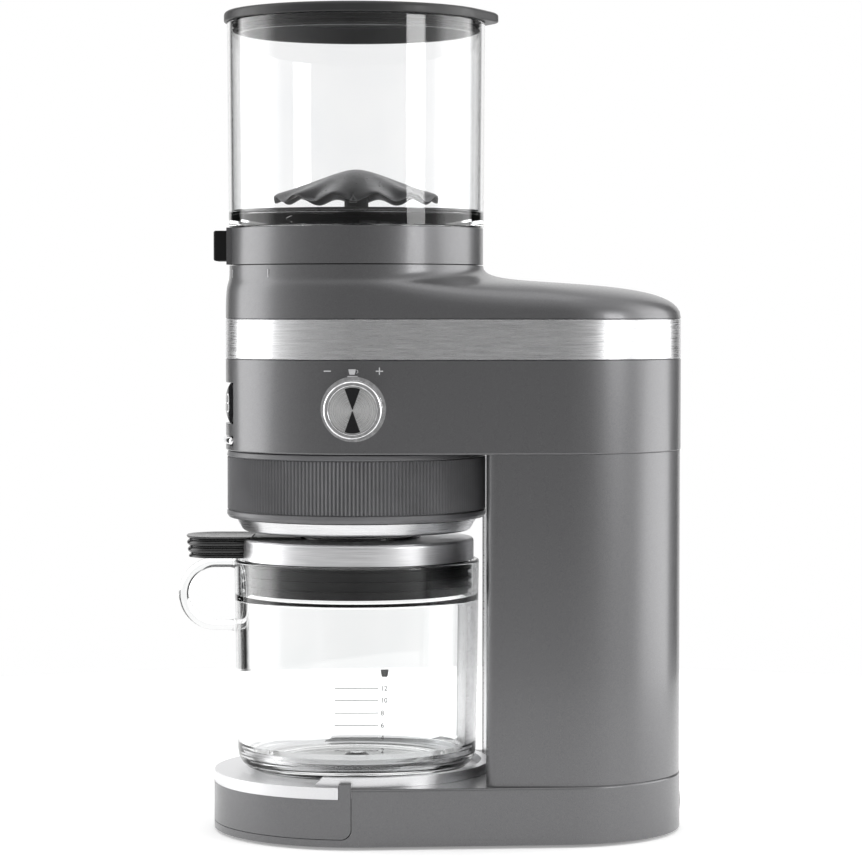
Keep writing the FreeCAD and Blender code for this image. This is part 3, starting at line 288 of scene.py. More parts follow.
class Maker:
    """Builds one node material step by step."""

    def __init__(self, name):
        self.material = bpy.data.materials.new(name)
        self.material.use_nodes = True
        self.tree = self.material.node_tree
        self.shader = self.tree.nodes["Principled BSDF"]
        self.add = node_adder(self.tree)
        self.place = self.add("TexCoord").outputs["Object"]

    def set(self, **values):
        """Uniform values straight on the shader's sockets."""
        for key, value in values.items():
            self.shader.inputs[key.replace("_", " ")].default_value = value
        return self

    def link(self, source, socket):
        """Drives one of the shader's sockets."""
        self.tree.links.new(source, self.shader.inputs[socket])
        return self

    def noise(self, scale, stretch=(1, 1, 1), detail=4.0):
        """Noise on object coordinates, stretched by a mapping."""
        mapping = self.add("Mapping", {"Scale": stretch, "Vector": self.place})
        noise = self.add("TexNoise", {"Scale": scale, "Detail": detail,
                                      "Vector": mapping.outputs["Vector"]})
        return noise.outputs["Fac"]

    def ramp(self, source, low, high):
        """The middle of a noise's range, spread between two colours."""
        ramp = self.add("ValToRGB", {"Fac": source})
        first, last = ramp.color_ramp.elements
        first.position, last.position = 0.35, 0.65
        first.color, last.color = tuple(low) + (1,), tuple(high) + (1,)
        return ramp.outputs["Color"]

    def between(self, source, low, high):
        """The middle of a noise's range, spread between two numbers."""
        spread = self.add("MapRange", {"From Min": 0.3, "From Max": 0.7, "To Min": low,
                                       "To Max": high, "Value": source})
        return spread.outputs["Result"]

    def bump(self, source, strength, distance):
        """Fine relief in the shading; the distance is in metres."""
        bump = self.add("Bump", {"Strength": strength, "Distance": distance, "Height": source})
        return self.link(bump.outputs["Normal"], "Normal")


def paint_finish(name, color):
    """Metallic satin paint: fine flakes in the colour and a faint orange peel."""
    maker = Maker(name).set(Metallic=0.72, Coat_Weight=0.35, Coat_Roughness=0.12)
    flakes = maker.noise(5200, detail=2.0)
    maker.link(maker.ramp(flakes, lighter(color, 0.8), lighter(color, 1.25)), "Base Color")
    maker.link(maker.between(maker.noise(900), 0.30, 0.38), "Roughness")
    return maker.bump(maker.noise(420, detail=2.0), 0.03, 0.0002).material


def brushed_finish(name, color, stretch, rough=0.26):
    """Brushed steel: noise stretched along the brushing gives fine lines in tone and height."""
    maker = Maker(name).set(Metallic=1.0)
    lines = maker.noise(60, stretch, 6.0)
    maker.link(maker.ramp(lines, lighter(color, 0.88), lighter(color, 1.08)), "Base Color")
    maker.link(maker.between(lines, rough - 0.06, rough + 0.08), "Roughness")
    return maker.bump(lines, 0.06, 0.0001).material


def dial_finish(name, color):
    """Spun metal: rings about the knob's axis in tone, and a highlight drawn out round them."""
    maker = Maker(name).set(Metallic=1.0, Anisotropic=0.85)
    low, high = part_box("knob_body")
    tangent = maker.add("Tangent", direction_type="RADIAL", axis="X")
    from_centre = maker.add("VectorMath", {0: maker.place, 1: (low + high) / 2},
                            operation="SUBTRACT")
    flat = maker.add("VectorMath", {0: from_centre.outputs["Vector"], 1: (0, 1, 1)},
                     operation="MULTIPLY")
    radius = maker.add("VectorMath", {0: flat.outputs["Vector"]}, operation="LENGTH")
    rings = maker.add("TexNoise", {"W": radius.outputs["Value"], "Scale": 4000},
                      noise_dimensions="1D")
    level = rings.outputs["Fac"]
    maker.link(tangent.outputs["Tangent"], "Tangent")
    maker.link(maker.ramp(level, lighter(color, 0.8), color), "Base Color")
    maker.link(maker.between(level, 0.24, 0.34), "Roughness")
    return maker.bump(level, 0.05, 0.00005).material


def plastic_finish(name, color, rough=0.42, grain=2600, depth=0.08, shine=0.5, metal=0.0):
    """Moulded plastic: a fine grain and slightly uneven gloss."""
    maker = Maker(name).set(Specular_IOR_Level=shine, Metallic=metal)
    grain_map = maker.noise(grain, detail=3.0)
    light = lighter(color, 1.15, 0.002)
    maker.link(maker.ramp(maker.noise(60), color, light), "Base Color")
    maker.link(maker.between(maker.noise(300), rough - 0.05, rough + 0.06), "Roughness")
    return maker.bump(grain_map, depth, 0.0001).material


def glass_finish(name, tint):
    """Clear moulded glass with a very slight waviness."""
    maker = Maker(name).set(Transmission_Weight=1.0, IOR=1.46)
    maker.link(maker.ramp(maker.noise(20), tint, (1.0, 1.0, 1.0)), "Base Color")
    maker.link(maker.between(maker.noise(120), 0.0, 0.004), "Roughness")
    return maker.bump(maker.noise(14, detail=1.0), 0.02, 0.0003).material


def mark_finish(name, color):
    """Printed ink, with a little unevenness."""
    maker = Maker(name)
    light = lighter(color, 1.1, 0.01)
    maker.link(maker.ramp(maker.noise(900), color, light), "Base Color")
    maker.link(maker.between(maker.noise(400), 0.45, 0.55), "Roughness")
    return maker.material


BLACK = (0.004, 0.004, 0.0045)

# name: how it is made, its material's name, its colour (or a setting's name), then the rest
LOOKS = {
    "paint": (paint_finish, "satin_metallic_paint", "body"),
    "ring": (plastic_finish, "satin_ring_grey", "ring", 0.34),
    "band": (brushed_finish, "level_brushed_steel", "steel", (1, 1, 120)),
    "steel": (brushed_finish, "turned_steel", "steel", (1, 1, 60), 0.3),
    "cap": (brushed_finish, "turned_cap_steel", "steel", (1, 1, 90), 0.34),
    "tray": (brushed_finish, "satin_tray_steel", "steel", (300, 12, 300), 0.3),
    "chrome": (brushed_finish, "polished_chrome", (0.86, 0.86, 0.87), (8, 8, 8), 0.1),
    "dial": (dial_finish, "spun_dial_steel", (0.8, 0.8, 0.8)),
    "black": (plastic_finish, "satin_black_plastic", BLACK, 0.42, 2600, 0.08, 0.25),
    "lever": (plastic_finish, "glossy_black_lever", BLACK, 0.24, 2600, 0.08, 0.6),
    "lid": (plastic_finish, "charcoal_lid_plastic", "lid", 0.38, 2600, 0.08, 0.4),
    "guard": (plastic_finish, "bean_guard_grey", (0.16, 0.16, 0.165), 0.32, 2600, 0.08, 0.5, 0.7),
    "rubber": (plastic_finish, "soft_black_rubber", (0.005, 0.005, 0.005), 0.55, 1500, 0.12, 0.3),
    "screen": (plastic_finish, "gloss_black_screen", (0.006, 0.006, 0.007), 0.1, 300, 0.01),
    "glass": (glass_finish, "clear_jar_glass", (0.965, 0.975, 0.975)),
    "hopper": (glass_finish, "clear_hopper_wall", (0.97, 0.975, 0.98)),
    "mark": (mark_finish, "grey_ink", (0.09, 0.09, 0.09)),
    "pale_mark": (mark_finish, "pale_ink", (0.62, 0.62, 0.63)),
    "digit": (mark_finish, "lit_digit", (0.9, 0.9, 0.9)),
    "nylon": (plastic_finish, "natural_nylon", (0.75, 0.73, 0.68), 0.45),
    "ground": (brushed_finish, "ground_burr_steel", (0.45, 0.45, 0.47), (20, 20, 20), 0.3),
    "board": (plastic_finish, "green_board", (0.02, 0.12, 0.05), 0.4),
}
FINISHES = {}


def finish(look):
    """The material of that look, made when it is first asked for."""
    if look not in FINISHES:
        make, name, color, *rest = LOOKS[look]
        if isinstance(color, str):
            color = getattr(bpy.context.scene.grinder_colors, color)
        FINISHES[look] = make(name, tuple(color), *rest)
    return FINISHES[look]


# ---------------------------------------------------------------- settings

class GrinderSizes(bpy.types.PropertyGroup):
    rib_count: IntProperty(name="Ring ribs", description="How many ribs the setting ring has",
                           default=210, min=40, max=400)
    rib_depth: FloatProperty(name="Rib depth", description="How far a rib stands out",
                             default=1.05 * MM, unit="LENGTH")
    guard_lobes: IntProperty(name="Guard lobes", description="Scallops round the bean guard",
                             default=12, min=3, max=24)
    guard_wave: FloatProperty(name="Guard wave", description="Height of the guard's scallops",
                              default=1.9 * MM, unit="LENGTH")
    mark_proud: FloatProperty(name="Mark height", description="How far a printed mark stands out",
                              default=0.06 * MM, unit="LENGTH")


class GrinderColors(bpy.types.PropertyGroup):
    body: FloatVectorProperty(name="Body", description="Colour of the metallic paint",
                              default=(0.15, 0.15, 0.154), subtype="COLOR", min=0, max=1)
    steel: FloatVectorProperty(name="Steel", description="Colour of the brushed steel",
                               default=(0.78, 0.78, 0.79), subtype="COLOR", min=0, max=1)
    ring: FloatVectorProperty(name="Ring", description="Colour of the setting ring",
                              default=(0.13, 0.13, 0.135), subtype="COLOR", min=0, max=1)
    lid: FloatVectorProperty(name="Lid", description="Colour of the hopper's lid",
                             default=(0.03, 0.03, 0.031), subtype="COLOR", min=0, max=1)


# ---------------------------------------------------------------- pieces of the body

def body_shells():
    """Shells whose CAD shape is right: smooth copies in satin paint."""
    for node in ("base_shell", "tray_fascia", "column_shell", "head_lower_shell", "hopper_collar"):
        body = {"tray_fascia": "tray", "hopper_collar": "hopper"}.get(node, "frame")
        settle(refined(node, node + "_skin"), body, finish("paint"))


def top_cover():
    """The cover's sweep from the band up to the hopper's seat.

    In each direction t round the burr axis the section is a rational cubic curve from the head's
    outline (reach L, band top) by (L, back top) and (seat radius, back top) to (seat radius,
    seat)."""
    low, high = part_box("head_top_cover")
    back_top, wall = 273.2 * MM, 2.2 * MM
    seat_r, opening = 63.25 * MM, 54.2 * MM
    outer_pull, seat_pull = 2.6, 3.4
    angle = np.linspace(0, FULL_TURN, 288, endpoint=False)
    reach = hull_reach(angle, HEAD_R, BACK_R, BACK_Y)[:, None]
    s = np.linspace(0, 1, 40)[None, :]
    weights = [(1 - s) ** 3, 3 * s * (1 - s) ** 2 * outer_pull, 3 * s ** 2 * (1 - s) * seat_pull,
               s ** 3]
    total = sum(weights)
    radius = ((weights[0] + weights[1]) * reach + (weights[2] + weights[3]) * seat_r) / total
    height = (weights[0] * low.z + (weights[1] + weights[2]) * back_top
              + weights[3] * high.z) / total
    height = np.broadcast_to(height, radius.shape)
    rim_r = np.repeat([[opening, opening]], len(angle), axis=0)
    rim_z = np.repeat([[high.z, high.z - wall]], len(angle), axis=0)
    radius = np.concatenate([radius, rim_r, radius[:, ::-1] - wall], axis=1)
    height = np.concatenate([height, rim_z, height[:, ::-1] - wall], axis=1)
    points = around(angle[:, None], radius, np.maximum(height, low.z))
    piece = grid_piece("top_cover_skin", points, True, True, sharp=60.0)
    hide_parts("head_top_cover")
    settle(piece, "frame", finish("paint"))


def steel_trim():
    """The band, the dish, the tray and the bright pieces whose CAD shape is right."""
    for node, body, look in (("trim_band", "frame", "band"), ("spout_dish", "frame", "steel"),
                             ("knob_bezel", "frame", "chrome"),
                             ("column_front_panel", "frame", "steel"),
                             ("tray_plate", "tray", "tray")):
        settle(refined(node, node + "_skin"), body, finish(look))


def setting_ring():
    """The ribbed ring: its outline is turned, and the rows in its groove reach out further by
    d (0.5 + 0.5 cos(n t)) ^ 0.8, for n ribs of depth d."""
    low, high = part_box("adjusting_ring")
    sizes = bpy.context.scene.grinder_sizes
    z0, z1 = low.z / MM, high.z / MM
    rim_r, groove_r, groove_low, groove_high = 64.7, 63.45, 160.4, 186.8
    corners = [(56.5, z0), (63.6, z0, 0.8), (rim_r, z0 + 1.6, 0.8), (rim_r, 160.0, 0.3),
               (groove_r, groove_low, 0.2), (groove_r, groove_low + 0.4),
               (groove_r, groove_high - 0.4), (groove_r, groove_high, 0.2),
               (rim_r, 187.2, 0.3), (64.2, z1, 0.8), (54.6, z1), (54.6, z0 + 3.5), (56.5, z0 + 3.5)]
    outline = rounded(corners)
    radius, height = outline[:, 0], outline[:, 1]
    ribbed = ((radius > 60 * MM) & (height > (groove_low + 0.2) * MM)
              & (height < (groove_high - 0.2) * MM))

    def ribs(turn, _height):
        wave = 0.5 + 0.5 * np.cos(sizes.rib_count * turn)
        return np.where(ribbed[None, :], sizes.rib_depth * wave ** 0.8, 0.0)

    points = lathe_points(outline, sizes.rib_count * 6, ribs)
    piece = grid_piece("setting_ring_skin", points, True, True, sharp=50.0)
    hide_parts("adjusting_ring")
    settle(piece, "grind_ring", finish("ring"))


# ---------------------------------------------------------------- hopper

def hopper_wall():
    """The clear hopper, wall and funnel in one: its closed outline turned about the burr axis."""
    corners = [(63.5, 300.6, 0.4), (64.25, 402.0, 0.5), (62.05, 402.0, 0.5), (61.3, 306.3, 2.5),
               (21.5, 298.3, 3.0), (20.5, 267.0), (22.5, 267.0), (23.7, 295.8, 3.0),
               (57.0, 301.3), (57.0, 291.0), (58.3, 291.0), (58.3, 300.6)]
    piece = lathe("clear_hopper", corners, 192, sharp=60.0)
    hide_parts("hopper_glass", "hopper_funnel")
    settle(piece, "hopper", finish("hopper"))


def bean_guard():
    """The scalloped guard: z = tip - a (sqrt(r^2 + c^2) - c) is a cone with a round tip, and a
    wave w (r/R)^4 cos(n t) drops and lifts the rim. The underside is the same surface, lower,
    and the two meet at the rim because the wall thins there by sqrt(1 - (r/R)^24)."""
    sizes = bpy.context.scene.grinder_sizes
    rim_r, slope, blunt, wall = 41.6 * MM, 0.42, 8.0 * MM, 1.9 * MM
    tip_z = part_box("bean_guard")[1].z - 0.5 * MM
    turn = np.linspace(0, FULL_TURN, 240, endpoint=False)[:, None]
    share = np.linspace(0.0, 1.0, 40)[None, :]
    wave = -np.cos(sizes.guard_lobes * turn)
    radius = rim_r * share * (1 + 0.012 * share ** 3 * (wave - 1))
    top = (tip_z - slope * (np.sqrt(radius ** 2 + blunt ** 2) - blunt)
           + sizes.guard_wave * wave * share ** 4)
    half = wall * np.sqrt(np.clip(1.0 - share ** 24, 0.0, 1.0)) / 2
    outer = around(turn, radius, top - wall / 2 + half)
    inner = around(turn, radius, top - wall / 2 - half)
    points = np.concatenate([outer, inner[:, ::-1]], axis=1)
    cap = grid_piece("bean_guard_cap", points, True, False, sharp=80.0)
    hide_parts("bean_guard")
    settle(cap, "hopper", finish("guard"))


def guard_stem():
    """The guard's post, turned, with three ribs: each is one flat section swept outward."""
    post = lathe("bean_guard_post",
                 [(0.4, 284.0), (5.0, 284.0, 0.6), (5.0, 303.8, 1.0), (12.5, 305.2, 0.5),
                  (12.5, 306.6, 0.5), (6.0, 309.0, 3.0), (6.0, 325.0), (0.4, 325.0)], 64)
    settle(post, "hopper", finish("black"))
    along = np.linspace(4.5, 20.0, 8)[:, None] * MM
    section = np.array([[-1.2, 285], [1.2, 285], [1.2, 296], [0.6, 297.2], [-0.6, 297.2],
                        [-1.2, 296]]) * MM
    across, height = section[None, :, 0], section[None, :, 1]
    for i in range(3):
        t = math.radians(30 + 120 * i)
        x = along * math.cos(t) - across * math.sin(t)
        y = along * math.sin(t) + across * math.cos(t)
        points = np.stack(np.broadcast_arrays(x, y, height), axis=-1)
        rib = grid_piece("bean_guard_rib_%d" % (i + 1), points, False, True)
        close_ends(rib)
        settle(rib, "hopper", finish("black"))


def close_ends(piece):
    """Fills the open ends of a tube."""
    work = bmesh.new()
    work.from_mesh(piece.data)
    loose = [e for e in work.edges if e.is_boundary]
    bmesh.ops.holes_fill(work, edges=loose, sides=0)
    bmesh.ops.recalc_face_normals(work, faces=work.faces)
    work.to_mesh(piece.data)
    work.free()


def hopper_fittings():
    """The hopper's base and release button, and its gasket and lid seal as turned outlines."""
    for node, body in (("hopper_base", "hopper"), ("release_button", "release_button")):
        settle(refined(node, node + "_skin"), body, finish("black"))
    gasket = lathe("hopper_seal_ring", [(58.6, 307.0), (60.9, 307.0), (60.9, 309.1, 0.5),
                                        (58.6, 309.1, 0.5)])
    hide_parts("hopper_gasket")
    settle(gasket, "hopper", finish("rubber"))
    lips = []
    for low in (397.3, 399.6):
        lips += [(59.6, low), (61.6, low + 0.1, 0.3), (61.6, low + 0.8, 0.3), (59.6, low + 0.9)]
    seal = lathe("lid_seal_ribs", [(59.05, 396.9), (59.6, 396.9)] + lips
                 + [(59.6, 401.8), (59.05, 401.8)])
    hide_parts("hopper_lid_seal")
    settle(seal, "hopper_lid", finish("rubber"))


def hopper_lid():
    """The lid: a flange whose outline is the hull of the rim's circle and a small one at the back,
    rounded over at the top, with a hollow round plug below. A section (r, z) is turned, and
    beyond the plug r grows by (r - plug) / (rim - plug) of the hull's reach past the rim."""
    low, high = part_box("hopper_lid")
    rim_r, tab_r, plug_r = -low.y, 17.0 * MM, 59.5 * MM
    turn = np.linspace(0, FULL_TURN, 360, endpoint=False)
    reach = hull_reach(turn, rim_r, tab_r, high.y - tab_r)
    section = rounded([(0.02, 404.8), (56.4, 404.8, 0.5), (56.4, 396.5, 0.4), (58.98, 396.5, 0.4),
                       (58.98, 402.3), (65.75, 402.3, 0.7), (65.75, 407.3, 1.8), (0.02, 407.3)])
    radius, height = section[:, 0][None, :], section[:, 1][None, :]
    flange = np.clip((radius - plug_r) / (rim_r - plug_r), 0, None)
    points = around(turn[:, None], radius + flange * (reach[:, None] - rim_r), height)
    piece = grid_piece("lid_skin", points, True, True, sharp=50.0)
    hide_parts("hopper_lid")
    settle(piece, "hopper_lid", finish("lid"))


# ---------------------------------------------------------------- controls

def knob():
    """The knob: its outline turned about the knob's axis, a spun face and two dark wedges."""
    low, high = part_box("knob_body")
    axis_z = (low.z + high.z) / 2 / MM
    x0, x1 = low.x / MM, high.x / MM
    outline = rounded([(5.0, x0), (13.9, x0, 0.4), (13.9, x1 - 0.7, 0.6), (13.3, x1, 0.5),
                       (11.6, x1, 0.4), (11.3, x1 - 1.1), (5.0, x1 - 1.1)])
    points = lathe_points(outline, 128)
    points = np.stack([points[..., 2], points[..., 0], points[..., 1] + axis_z * MM], axis=-1)
    piece = grid_piece("knob_rim", points, True, True)
    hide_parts("knob_body")
    settle(piece, "knob", finish("chrome"))
    face = refined("knob_face", "knob_face_skin")
    settle(face, "knob", finish("dial"))
    # painted reflection: two black wedges stand for the dark reflection of the spun face
    for i, middle in enumerate((90.0, 270.0)):
        wedge = knob_wedge("knob_wedge_%d" % (i + 1), (x1 - 0.4) * MM, axis_z * MM, middle)
        settle(wedge, "knob", finish("screen"))


def knob_wedge(name, x, axis_z, middle):
    """A thin sector: r from 0.4 to 10.9 mm and t within 20 degrees of the middle, on the face."""
    t = np.radians(np.linspace(middle - 20, middle + 20, 24))[:, None]
    r = np.linspace(0.4, 10.9, 12)[None, :] * MM
    top = np.stack(np.broadcast_arrays(x + 0.12 * MM, r * np.cos(t), axis_z + r * np.sin(t)),
                   axis=-1)
    bottom = top - np.array([0.2 * MM, 0, 0])
    wedge = grid_piece(name, np.concatenate([top, bottom[:, ::-1]], axis=1), False, True)
    close_ends(wedge)
    return wedge


def box_outline(width, height, radius, middle=(0.0, 0.0)):
    """A rounded rectangle in mm about a middle, as points in metres."""
    w, h = width / 2, height / 2
    corners = [(-w, -h, radius), (w, -h, radius), (w, h, radius), (-w, h, radius)]
    return rounded([(u + middle[0], v + middle[1], r) for u, v, r in corners], 5)


# each bar of a digit: middle and size, in mm
DIGIT_BARS = {"a": (0, 4.2, 3, 0.8), "b": (1.9, 2.1, 0.8, 3.4), "c": (1.9, -2.1, 0.8, 3.4),
              "d": (0, -4.2, 3, 0.8), "e": (-1.9, -2.1, 0.8, 3.4), "f": (-1.9, 2.1, 0.8, 3.4),
              "g": (0, 0, 3, 0.8)}
# where each digit is along the screen, and the bars that are lit
DIGITS = ((-14.0, "bc"), (-7.0, "fgbc"), (9.0, "abged"), (16.5, "abgcd"))


def screen():
    """The curved screen with its lit digits: plates wrapped round the head's front."""
    low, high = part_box("display_lens")
    middle = (low.z + high.z) / 2 / MM
    lens = drum_patch("screen", box_outline(50.6, 20.0, 3.2, (0, middle)), HEAD_R + 0.18 * MM,
                      1.8 * MM, FRONT)
    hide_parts("display_lens")
    settle(lens, "frame", finish("screen"))
    for place, letters in DIGITS:
        for letter in letters:
            u, v, w, h = DIGIT_BARS[letter]
            outline = box_outline(w, h, 0.3, (place + u, middle + v))
            bar = drum_patch("digit_%d_%s" % (place * 10 + 200, letter), outline,
                             HEAD_R + 0.24 * MM, 0.1 * MM, FRONT, 3)
            settle(bar, "frame", finish("digit"))


def start_bar():
    """The start bar: a tube along an arc of the head's front, x = r sin t and y = -r cos t. Its
    own radius falls off at the ends by sqrt(1 - (t/T)^24)."""
    low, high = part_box("start_button")
    half = math.asin(24.4 * MM / (HEAD_R + 0.4 * MM))
    arc_r = HEAD_R - 0.3 * MM
    t = np.linspace(-half, half, 60)
    path = np.stack([arc_r * np.sin(t), -arc_r * np.cos(t), np.full_like(t, (low.z + high.z) / 2)],
                    axis=-1)
    ends = np.sqrt(np.clip(1 - (np.abs(t) / half) ** 24, 0.0, 1))
    bar = tube_along("start_bar", path, 1.65 * MM * np.maximum(ends, 0.02), 24, squash=1.2)
    close_ends(bar)
    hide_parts("start_button")
    settle(bar, "start_button", finish("chrome"))


def pale_print(mark):
    """A mark printed on the frame in pale ink."""
    settle(mark, "frame", finish("pale_mark"))


def printed_marks():
    """Minus, cup and plus over the knob, ticks on the cover and the hopper's triangle: thin
    plates and round lines wrapped on the surface below them."""
    proud = bpy.context.scene.grinder_sizes.mark_proud
    row_z = 230.3
    marks = [("minus", box_outline(3.6, 0.5, 0.2, (-12.5, row_z))),
             ("plus_level", box_outline(3.6, 0.5, 0.2, (12.5, row_z))),
             ("plus_upright", box_outline(0.5, 3.6, 0.2, (12.5, row_z))),
             ("cup_bowl", rounded([(-2.4, 231.2), (1.2, 231.2), (0.7, 228.6, 0.6),
                                   (-1.9, 228.6, 0.6)])),
             ("cup_saucer", box_outline(5.0, 0.4, 0.15, (-0.4, 227.8)))]
    for name, outline in marks:
        pale_print(flank_patch("mark_" + name, outline, proud))
    t = np.linspace(-1.4, 1.4, 14)
    handle = np.stack([1.3 + 0.9 * np.cos(t), 230.1 + 0.8 * np.sin(t)], axis=-1) * MM
    pale_print(tube_along("mark_cup_handle", on_flank(handle, 0), 0.14 * MM, 6))
    for i, degrees in enumerate((17.0, 49.0)):
        pale_print(drum_patch("cover_tick_%d" % (i + 1), box_outline(0.45, 4.0, 0.15, (0, 277.4)),
                              63.55 * MM + proud, 3 * proud, math.radians(degrees - 90), 3))
    outline = np.array([[0.0, 314.6], [-1.9, 311.2], [1.9, 311.2], [0.0, 314.6]]) * MM
    corners = on_drum(outline, 63.62 * MM, KNOB_SIDE)
    path = np.concatenate([np.linspace(a, b, 10) for a, b in zip(corners[:-1], corners[1:])])
    apart = np.linalg.norm(np.diff(path, axis=0), axis=1) > 1e-6
    path = path[np.concatenate([[True], apart])]
    triangle = tube_along("hopper_triangle", path, 0.16 * MM, 8)
    settle(triangle, "hopper", finish("mark"))


# ---------------------------------------------------------------- jar

def jar_body():
    """The jar: its closed outline turned, with a thick rounded foot and a small kick in the
    floor."""
    corners = [(43.0, 31.6), (45.0, 30.5, 0.8), (59.6, 30.6, 10.0), (61.3, 135.2, 1.2),
               (58.5, 135.2, 1.2), (58.2, 117.6, 1.0), (55.6, 115.6, 1.6), (54.4, 36.2, 8.0),
               (7.0, 36.2, 2.0), (4.5, 38.2, 2.0), (0.02, 38.6), (0.02, 33.0), (40.0, 32.4, 2.0)]
    piece = lathe("jar_wall", corners, 192, sharp=70.0)
    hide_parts("jar_glass")
    settle(piece, "jar", finish("glass"))


def jar_handle():
    """The loop handle: a round tube along a half circle y = m + b cos t, z = n + b sin t and two
    level stubs, which widens by the square of the distance as it nears the wall."""
    bend, middle_y, middle_z = 15.8 * MM, -70.8 * MM, 117.5 * MM
    tube_r, flare_start, flare_length = 2.6 * MM, -64 * MM, 3.5 * MM
    t = np.linspace(math.pi / 2, 3 * math.pi / 2, 48)
    arc = np.stack([0 * t, middle_y + bend * np.cos(t), middle_z + bend * np.sin(t)], axis=-1)
    upper = np.linspace([0, -60.6 * MM, middle_z + bend], arc[0], 8, endpoint=False)
    lower = np.linspace(arc[-1], [0, -60.2 * MM, middle_z - bend], 9)[1:]
    path = np.concatenate([upper, arc, lower])
    flare = 1 + 0.35 * np.clip((path[:, 1] - flare_start) / flare_length, 0, 1) ** 2
    handle = tube_along("jar_handle", path, tube_r * flare, 28)
    close_ends(handle)
    settle(handle, "jar", finish("glass"))


def jar_marks():
    """Level lines with plain numbers, and a cup, on the knob side of the jar."""
    radius, thick = 60.42 * MM, 0.1 * MM

    def print_on_jar(mark):
        settle(mark, "jar", finish("mark"))

    for number, height in ((12, 76.9), (10, 71.1), (8, 64.9), (6, 59.0), (4, 52.9), (2, 46.6)):
        outline = box_outline(21.2, 0.32, 0.12, (1.2, height))
        print_on_jar(drum_patch("jar_line_%d" % number, outline, radius, thick, KNOB_SIDE, 3))
        print_on_jar(number_piece("jar_number_%d" % number, str(number), 3.4,
                                  (13.0, height - 1.2), radius))
    cup = rounded([(13.0, 86.0), (17.0, 86.0), (16.4, 82.4, 0.7), (13.6, 82.4, 0.7)])
    print_on_jar(drum_patch("jar_cup_mark", cup, radius, thick, KNOB_SIDE, 3))


def number_piece(name, text, size, corner, radius):
    """A number as a thin flat mesh, wrapped round the jar: its z becomes distance outward."""
    curve = bpy.data.curves.new(name, "FONT")
    curve.body = text
    curve.size = size
    curve.extrude = 0.04
    holder = bpy.data.objects.new(name, curve)
    mesh = bpy.data.meshes.new_from_object(holder)
    bpy.data.objects.remove(holder)
    flat = np.zeros(len(mesh.vertices) * 3)
    mesh.vertices.foreach_get("co", flat)
    flat = flat.reshape(-1, 3) * MM
    wrapped = on_drum(flat[:, :2] + np.array(corner) * MM, radius, KNOB_SIDE)
    outward = wrapped * np.array([1, 1, 0]) / np.linalg.norm(wrapped[:, :2], axis=1)[:, None]
    mesh.vertices.foreach_set("co", (wrapped + outward * flat[:, 2:3]).ravel())
    clean_mesh(mesh, False)
    piece = bpy.data.objects.new(name, mesh)
    bpy.context.scene.collection.objects.link(piece)
    return piece


def jar_lid():
    """The black body with its seal lips, and the steel cap as a turned outline."""
    settle(refined("jar_lid_body", "jar_lid_body_skin"), "jar", finish("black"))
    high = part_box("jar_lid_cap")[1]
    radius, top, wall, hole_r = high.x / MM, high.z / MM, 1.2, 24.1
    cap = lathe("jar_cap_skin", [(hole_r, top), (radius, top, 1.8), (radius, 135.5),
                                 (radius - wall, 135.5), (radius - wall, top - wall, 1.0),
                                 (hole_r, top - wall)], 192)
    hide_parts("jar_lid_cap")
    settle(cap, "jar", finish("cap"))


def jar_lever():
    """The lever: rows of one outline, a tab in front joined to a ring, stacked in z.

    Each row is moved inward by p (1 - |cos(3 pi s)|^0.6) + q (1 - s)^1.5, s = 0 at the bottom and
    1 at the top, which leaves ridges round the tab and narrows it below. A turned ring and a
    tongue that fits between them lie on the cap."""
    low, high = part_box("jar_lid_lever")
    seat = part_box("jar_lid_cap")[1].z + 0.06 * MM
    half, corner = 19.8, 16.0
    front, back = low.y / MM, -51.5
    tab = rounded([(half, back), (-half, back), (-half, front + 0.1, corner),
                   (half, front + 0.1, corner)], 22)
    middle = np.array([0.0, -58.0 * MM])

    def row(outline, height):
        return np.column_stack([outline, np.full(len(outline), height)])

    def shrunk(scale, height):
        return row(middle + (tab - middle) * scale, height)

    away = tab - middle
    reach = np.linalg.norm(away, axis=1)[:, None]
    rows = [shrunk(0.02, low.z)]
    for share in np.linspace(0.0, 1.0, 40):
        ridge = abs(math.cos(math.pi * 3.0 * share)) ** 0.6
        inset = 1.9 * MM * (1 - ridge) + 3.2 * MM * (1 - share) ** 1.5 * 0.35
        rows.append(row(middle + away * (1 - inset / reach), low.z + share * (high.z - low.z)))
    rows += [shrunk(scale, high.z - depth * MM)
             for scale, depth in ((0.93, 0.0), (0.86, 0.5), (0.5, 0.9), (0.02, 0.9))]
    piece = grid_piece("lever_tab", np.array(rows), False, True, sharp=50.0)
    close_ends(piece)
    settle(piece, "jar", finish("lever"))
    ring = lathe("lever_ring", [(24.05, seat / MM), (32.0, seat / MM), (32.0, high.z / MM, 0.4),
                                (24.05, high.z / MM, 0.4)], 96)
    settle(ring, "jar", finish("lever"))
    y = -np.linspace(52.0, 26.0, 20)[:, None] * MM
    edge = np.minimum(half * MM, np.sqrt(np.maximum((58.0 * MM) ** 2 - y ** 2, 0)))
    top = high.z - 0.02 * MM
    across = np.array([-1.0, 1.0, 1.0, -1.0])[None, :]
    level = np.array([seat, seat, top, top])[None, :]
    points = np.stack(np.broadcast_arrays(across * edge, y, level), axis=-1)
    tongue = grid_piece("lever_tongue", points, False, True)
    close_ends(tongue)
    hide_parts("jar_lid_lever")
    settle(tongue, "jar", finish("lever"))


# ---------------------------------------------------------------- what is inside and below

def hidden_pieces():
    """Every CAD node that still shows takes a finish of its own kind."""
    looks = {"black_plastic": "black", "rubber": "rubber", "burr_steel": "ground", "zinc": "ground",
             "gear_nylon": "nylon", "magnet": "black", "board": "board", "brushed_steel": "steel",
             "chrome": "chrome", "body_paint": "paint", "lid_plastic": "lid", "ring_grey": "ring",
             "gloss_black": "screen", "clear": "hopper", "jar_glass": "glass"}
    for part in frame["record"]["subparts"]:
        node = NODES[part["node"]]
        node.data.materials.clear()
        node.data.materials.append(finish(looks[part["material_slot"]]))


# ---------------------------------------------------------------- stage

